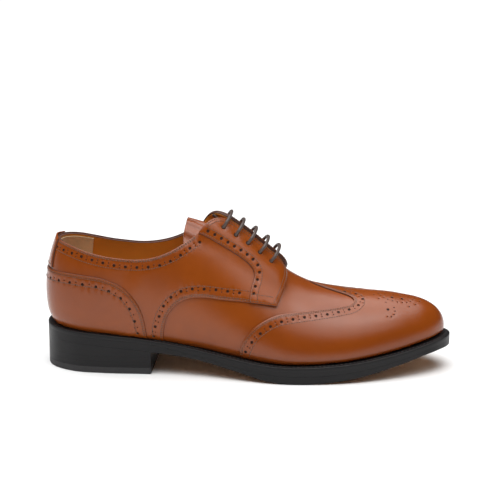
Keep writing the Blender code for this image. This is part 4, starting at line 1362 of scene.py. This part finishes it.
class SHOE_OT_tongue(bpy.types.Operator):
    """Shape the padded tongue"""
    bl_idname = "shoe.tongue"
    bl_label = "Tongue"

    def execute(self, context):
        loop = outline((WELD, straight((174.2, 1.0), (119.5, 1.0))), (FOLDED, bend(TONGUE_TOP)),
                       (FOLDED, bend(TONGUE_SIDE)), (FOLDED, bend(TONGUE_FOOT)))
        tongue = Piece("tongue_leather", *loop, tongue_low, tongue_high, thin=1.6, grid=1.8)
        thing = tongue.make([finish("calf"), finish("lining"), finish("hole")])
        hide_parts("tongue")
        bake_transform(thing)
        return {"FINISHED"}


class SHOE_OT_seams(bpy.types.Operator):
    """Sew every visible row of the upper"""
    bl_idname = "shoe.seams"
    bl_label = "Upper seams"

    def execute(self, context):
        sizes = context.scene.shoe_sizes
        pitch, radius = sizes.stitch_pitch / MM, sizes.stitch_thread / MM / 2
        wing_high = level(WING_LEVEL)
        counter_flat = COUNTER_LINE[COUNTER_LINE[:, 1] > 0.012]
        wing_flat = WING_LINE[WING_LINE[:, 1] > 0.012]
        foot_flat = upto(FOOT_LINE[FOOT_LINE[:, 1] > 0.012], FACING_END)
        facing_low = FACING_LINE[2:]
        front = np.concatenate([FRONT_LINE, THROAT_LINE[1:-6]])
        corner = beyond(FOOT_LINE, FACING_END)
        groups = {
            "seam_collar": (quarter_high, [(COLLAR_LINE[3:-12], g) for g in (0.9, 1.7, 7.6)]),
            "seam_counter": (cover_high, [(counter_flat, g) for g in (1.1, 2.1, 7.4)]),
            "seam_foot": (quarter_high, [(foot_flat, g) for g in (1.1, 2.1, 8.4)]),
            "seam_facing": (cover_high, [(facing_low, g) for g in (1.0, 5.6)]
                            + [(front, g) for g in (1.1, 3.0)]
                            + [(corner[:-2], g) for g in (1.1, 6.4)]),
            "seam_wing": (wing_high, [(wing_flat, g) for g in (1.1, 2.1, 8.2)]),
            "seam_back_strap": (cover_high, [(bend(STRAP_SIDE)[1:-1], 1.1),
                                             (straight((1.0, 0.335), (14.0, 0.335)), 0.6)]),
        }
        for name, (high, lines) in groups.items():
            rows = []
            for line, gap in lines:
                moved = beside(line, gap)
                keep = (moved[:, 1] < 0.985) & (moved[:, 1] > 0.008) & (moved[:, 0] > 0.6)
                moved = moved[keep]
                rows += [stitch_row(side, moved, high, pitch) for side in BOTH]
            sew(name, rows, radius, pitch * 0.78, finish("thread"), "calf")
        return {"FINISHED"}


class SHOE_OT_lace(bpy.types.Operator):
    """Braid the waxed cord along its way through the eyelets"""
    bl_idname = "shoe.lace"
    bl_label = "Shoelace"

    def execute(self, context):
        sizes = context.scene.shoe_sizes
        route = smooth_path(lace_route(), 0.34)
        settle(braid("shoelace_cord", route, sizes.lace / MM / 2, sizes.braid), "lace", "shoelace")
        return {"FINISHED"}


LACE_REACH, LACE_RUN, BAR_HANDLE = 2.1, 4.6, 12.5
LACE_END = [(1.6, 0.006), (8.0, 0.03)]


def off_last(side, s, t, off):
    s, t = np.array([s]), np.array([t])
    return (LAST.bare(side, s, t) + LAST.raw_way(side, s, t) * off)[0]


def lace_route():
    """Straight bars over the throat, climbing one eyelet at a time under the facings, as in the frame."""
    route = []
    side = OUTER
    for n, place in enumerate(reversed(EYELETS)):
        middle, axis, _ = eyelet_axis(side, place)
        far_middle, far_axis, _ = eyelet_axis(-side, place)
        low, high = middle - axis * LACE_REACH, middle + axis * LACE_REACH
        far_low, far_high = far_middle - far_axis * LACE_REACH, far_middle + far_axis * LACE_REACH
        rise, far_rise = axis * BAR_HANDLE, far_axis * BAR_HANDLE
        route += [low, high]
        for k in np.linspace(0, 1, 9)[1:-1]:
            route.append(high * (1 - k) ** 3 + 3 * (high + rise) * (1 - k) ** 2 * k
                         + 3 * (far_high + far_rise) * (1 - k) * k * k + far_high * k ** 3)
        route += [far_high, far_low]
        side = -side
        if n < len(EYELETS) - 1:
            after = EYELETS[len(EYELETS) - 2 - n]
            for k in (0.14, 0.5, 0.86):
                route.append(off_last(side, place[0] * (1 - k) + after[0] * k, place[1], LACE_RUN))
    first, last = EYELETS[-1], EYELETS[0]
    start = [off_last(OUTER, first[0] - d, first[1] + u, LACE_RUN) for d, u in LACE_END[::-1]]
    stop = [off_last(side, last[0] - d, last[1] + u, LACE_RUN) for d, u in LACE_END]
    return np.array(start + route + stop)


def smooth_path(points, step):
    key = np.concatenate([[0], np.cumsum(np.sqrt(np.linalg.norm(np.diff(points, axis=0), axis=1)))])
    fine = np.linspace(0, key[-1], 6000)
    dense = np.stack([smooth(key, points[:, i], fine) for i in range(3)], -1)
    run = distance_along(dense)
    even = np.linspace(0, run[-1], int(run[-1] / step))
    return columns_at(even, run, dense)


def braid(name, path, radius, strands, around=16, lay=5.0):
    """A tube whose skin shows crossing strands; lay is the length of one turn of a strand."""
    run = unit(np.gradient(path, axis=0))
    normal = np.zeros_like(run)
    normal[0] = unit(np.cross(run[0], (0.3, 0.9, 0.2)))
    for k in range(1, len(path)):
        n = normal[k - 1] - run[k] * (normal[k - 1] @ run[k])
        normal[k] = n / np.linalg.norm(n)
    other = np.cross(run, normal)
    length = distance_along(path)
    angle = 2 * np.pi * np.arange(around) / around
    turn = 2 * np.pi * length[:, None] / lay
    right = np.cos(strands * (angle - turn)) ** 2
    left = np.cos(strands * (angle + turn)) ** 2
    size = radius * (0.9 + 0.1 * np.maximum(right, left))
    points = (path[:, None] + normal[:, None] * (np.cos(angle) * size)[..., None]
              + other[:, None] * (np.sin(angle) * size)[..., None])
    faces = tube_faces(len(path), around)
    return new_mesh(name, world(points.reshape(-1, 3)), faces, [finish("lace")], sharp=60)


class SHOE_OT_bottom(bpy.types.Operator):
    """Build the welt, rand, midsole and outsole with their dressed edges"""
    bl_idname = "shoe.bottom"
    bl_label = "Welt and soles"

    def execute(self, context):
        sizes = context.scene.shoe_sizes
        heel, toe = RIBS[0][0], RIBS[-1][0]
        edge = [finish("sole_edge"), finish("sole_bottom")]
        welt = edge_band("welt_leather", band_path(HEEL_BREAST, toe, "toe"), welt_section, edge)
        settle(welt, "sole_edge", "welt")
        rand = edge_band("heel_rand_leather", band_path(heel, HEEL_BREAST - 0.06, "heel"), welt_section, edge)
        settle(rand, "sole_edge", "heel_rand")

        def under_welt(x):
            return LAST.feather(x) - WELT_FOOT - 0.03

        def under_midsole(x):
            gap = (table(MIDSOLE_DEPTH, x) + 0.04) * np.clip((x - MIDSOLE_START + 0.8) / 0.6, 0, 1)
            return under_welt(x) - gap

        midsole = plate("midsole_leather", plan_loop(MIDSOLE_START, toe, sole_edge_out), under_welt,
                        lambda x: under_welt(x) - table(MIDSOLE_DEPTH, x), edge, 0.02)
        settle(midsole, "sole_edge", "midsole")
        outsole = plate("outsole_leather", plan_loop(heel, toe, sole_edge_out), under_midsole, tread, edge,
                        0.12, foot_paint=1)
        settle(outsole, "sole_edge", "outsole")
        pitch = sizes.welt_pitch / MM
        spots = []
        for side, s in band_path(HEEL_BREAST + 2, toe, "toe"):
            s = np.array([s])
            xy, way, z = LAST.plan(side, s)
            out = sole_edge_out(LAST.column(side, s, 0))[0] - WELT_STITCH_IN
            spots.append((*(xy[0] + way[0] * out), z[0] - WELT_TOP + WELT_STITCH_UP))
        spots = np.array(spots)
        key = distance_along(spots)
        at = np.arange(pitch / 2, key[-1], pitch)
        middle, ahead = (columns_at(at + d, key, spots) for d in (0, 0.5))
        rows = [(middle, unit(ahead - middle), np.tile([0, 0, 1.0], (len(at), 1)))]
        sew("welt_stitches", rows, WELT_THREAD, pitch * 0.8, finish("dark_thread"), "sole_edge")
        return {"FINISHED"}


class SHOE_OT_heel(bpy.types.Operator):
    """Stack the heel: wedge, lifts and rubber top piece"""
    bl_idname = "shoe.heel"
    bl_label = "Heel"

    def execute(self, context):
        heel = RIBS[0][0]
        for name, foot, top, slot in HEEL_LEVELS:
            loop = plan_loop(heel, HEEL_BREAST, sole_edge_out)
            material, soften = ("_rubber", 0.2) if slot == "rubber" else ("_leather", 0.02)
            piece = plate(name + material, loop, lambda x, v=top: 0 * x + v, lambda x, v=foot: 0 * x + v,
                          [finish(slot)], soften)
            settle(piece, slot, name)
        wedge = plate("heel_wedge_leather", plan_loop(heel, HEEL_BREAST, sole_edge_out),
                      lambda x: tread(x) - 0.03, lambda x: 0 * x + WEDGE_FOOT, [finish("sole_edge")], 0.02)
        settle(wedge, "sole_edge", "heel_wedge")
        return {"FINISHED"}


class SHOE_OT_insole(bpy.types.Operator):
    """Lay the insole and the sock lining"""
    bl_idname = "shoe.insole"
    bl_label = "Insole and sock"

    def execute(self, context):
        heel, toe = RIBS[0][0], RIBS[-1][0]
        insole = plate("insole_leather", plan_loop(heel, toe, lambda x: 0 * x - INSOLE_IN),
                       lambda x: LAST.feather(x) + INSOLE_LEVELS[1],
                       lambda x: LAST.feather(x) + INSOLE_LEVELS[0], [finish("insole")], 0.3)
        settle(insole, "insole", "insole")
        sock = plate("sock_lining_leather", plan_loop(heel, toe, lambda x: 0 * x - SOCK_IN),
                     lambda x: LAST.feather(x) + SOCK_LEVELS[1], lambda x: LAST.feather(x) + SOCK_LEVELS[0],
                     [finish("lining")], 0.3)
        settle(sock, "insole", "sock_lining")
        return {"FINISHED"}


class SHOE_OT_hidden(bpy.types.Operator):
    """Finish the pieces that stay as the frame has them"""
    bl_idname = "shoe.hidden"
    bl_label = "Hidden pieces"

    LOOKS = {"toe_puff": "stiffener", "heel_counter": "stiffener", "cork_filler": "cork", "shank": "steel",
             "heel_nail_1": "brass", "heel_nail_2": "brass", "heel_nail_3": "brass", "heel_nail_4": "brass",
             "heel_nail_5": "brass"}

    def execute(self, context):
        for node, look in self.LOOKS.items():
            thing = frame["nodes"][node]
            for slot in thing.material_slots:
                slot.material = finish(look)
            if not thing.material_slots:
                thing.data.materials.append(finish(look))
        return {"FINISHED"}


class SHOE_OT_stage(bpy.types.Operator):
    """Set the pale floor, the soft studio light and the camera"""
    bl_idname = "shoe.stage"
    bl_label = "Studio"

    def execute(self, context):
        studio = context.scene.shoe_studio
        scene = context.scene
        reach = 14.0
        look = Finish("studio floor")
        tone = look.noise(1.5)
        base = tuple(scene.shoe_colours.floor)
        look.dress(Base_Color=look.mix(tone * 0.02, base, deeper(base, 0.98)), Roughness=0.9,
                   Specular_IOR_Level=0.1)
        corners = [(-reach, -reach, 0), (reach, -reach, 0), (reach, reach, 0), (-reach, reach, 0)]
        floor = new_mesh("studio_floor", corners, [[0, 1, 2, 3]], [look.material])
        self.add_lights(scene, studio)
        aim = Vector(studio.aim)
        a, e = studio.azimuth, studio.elevation
        back = Vector((math.sin(a) * math.cos(e), -math.cos(a) * math.cos(e), math.sin(e)))
        data = bpy.data.cameras.new("studio_camera")
        data.lens, data.sensor_width, data.clip_start, data.clip_end = studio.lens, 36.0, 0.05, 60.0
        camera = bpy.data.objects.new("studio_camera", data)
        camera.location = aim + back * studio.distance
        camera.rotation_euler = back.to_track_quat("Z", "Y").to_euler()
        scene.collection.objects.link(camera)
        scene.camera = camera
        return {"FINISHED"}

    def add_lights(self, scene, studio):
        scene.view_settings.view_transform = "Standard"
        world_look = bpy.data.worlds.new("studio")
        world_look.use_nodes = True
        scene.world = world_look
        tree = world_look.node_tree
        room = tree.nodes["Background"]
        room.inputs["Color"].default_value = (1, 1, 1, 1)
        path = tree.nodes.new("ShaderNodeLightPath")
        strength = tree.nodes.new("ShaderNodeMix")
        strength.inputs["A"].default_value = studio.fill
        strength.inputs["B"].default_value = 1.0
        tree.links.new(path.outputs["Is Camera Ray"], strength.inputs["Factor"])
        tree.links.new(strength.outputs["Result"], room.inputs["Strength"])
        sun = bpy.data.lights.new("overhead", "SUN")
        sun.energy, sun.angle = studio.sun, studio.spread
        lamp = bpy.data.objects.new("overhead", sun)
        lamp.rotation_euler = (math.radians(-8), math.radians(-6), 0)
        scene.collection.objects.link(lamp)
        box = bpy.data.lights.new("softbox", "AREA")
        box.shape, box.size, box.size_y, box.energy = "RECTANGLE", 1.6, 0.9, studio.box
        lamp = bpy.data.objects.new("softbox", box)
        lamp.location = (0.1, -0.55, 1.15)
        towards = Vector(lamp.location) - Vector((0, 0, 0.05))
        lamp.rotation_euler = towards.to_track_quat("Z", "Y").to_euler()
        scene.collection.objects.link(lamp)


class SHOE_PT_panel(bpy.types.Panel):
    bl_label = "Derby brogue"
    bl_idname = "SHOE_PT_panel"
    bl_space_type = "VIEW_3D"
    bl_region_type = "UI"
    bl_category = "Shoe"

    def draw(self, context):
        for operator in OPERATORS:
            self.layout.operator(operator.bl_idname)
        for group in (context.scene.shoe_sizes, context.scene.shoe_colours, context.scene.shoe_studio):
            box = self.layout.box()
            for key in group.__annotations__:
                box.prop(group, key)


OPERATORS = (SHOE_OT_vamp, SHOE_OT_quarters, SHOE_OT_counter, SHOE_OT_linings, SHOE_OT_tongue, SHOE_OT_seams,
             SHOE_OT_lace, SHOE_OT_bottom, SHOE_OT_heel, SHOE_OT_insole, SHOE_OT_hidden, SHOE_OT_stage)
GROUPS = {"shoe_colours": ShoeColours, "shoe_sizes": ShoeSizes, "shoe_studio": ShoeStudio}


def register():
    for key, group in GROUPS.items():
        bpy.utils.register_class(group)
        setattr(bpy.types.Scene, key, PointerProperty(type=group))
    for operator in OPERATORS:
        bpy.utils.register_class(operator)
    bpy.utils.register_class(SHOE_PT_panel)


def unregister():
    bpy.utils.unregister_class(SHOE_PT_panel)
    for operator in reversed(OPERATORS):
        bpy.utils.unregister_class(operator)
    for key, group in GROUPS.items():
        delattr(bpy.types.Scene, key)
        bpy.utils.unregister_class(group)


def plain(box):
    return [list(corner) for corner in box]


def main():
    register()
    for operator in OPERATORS:
        getattr(bpy.ops.shoe, operator.bl_idname.split(".")[1])()


if __name__ == "__main__":
    main()
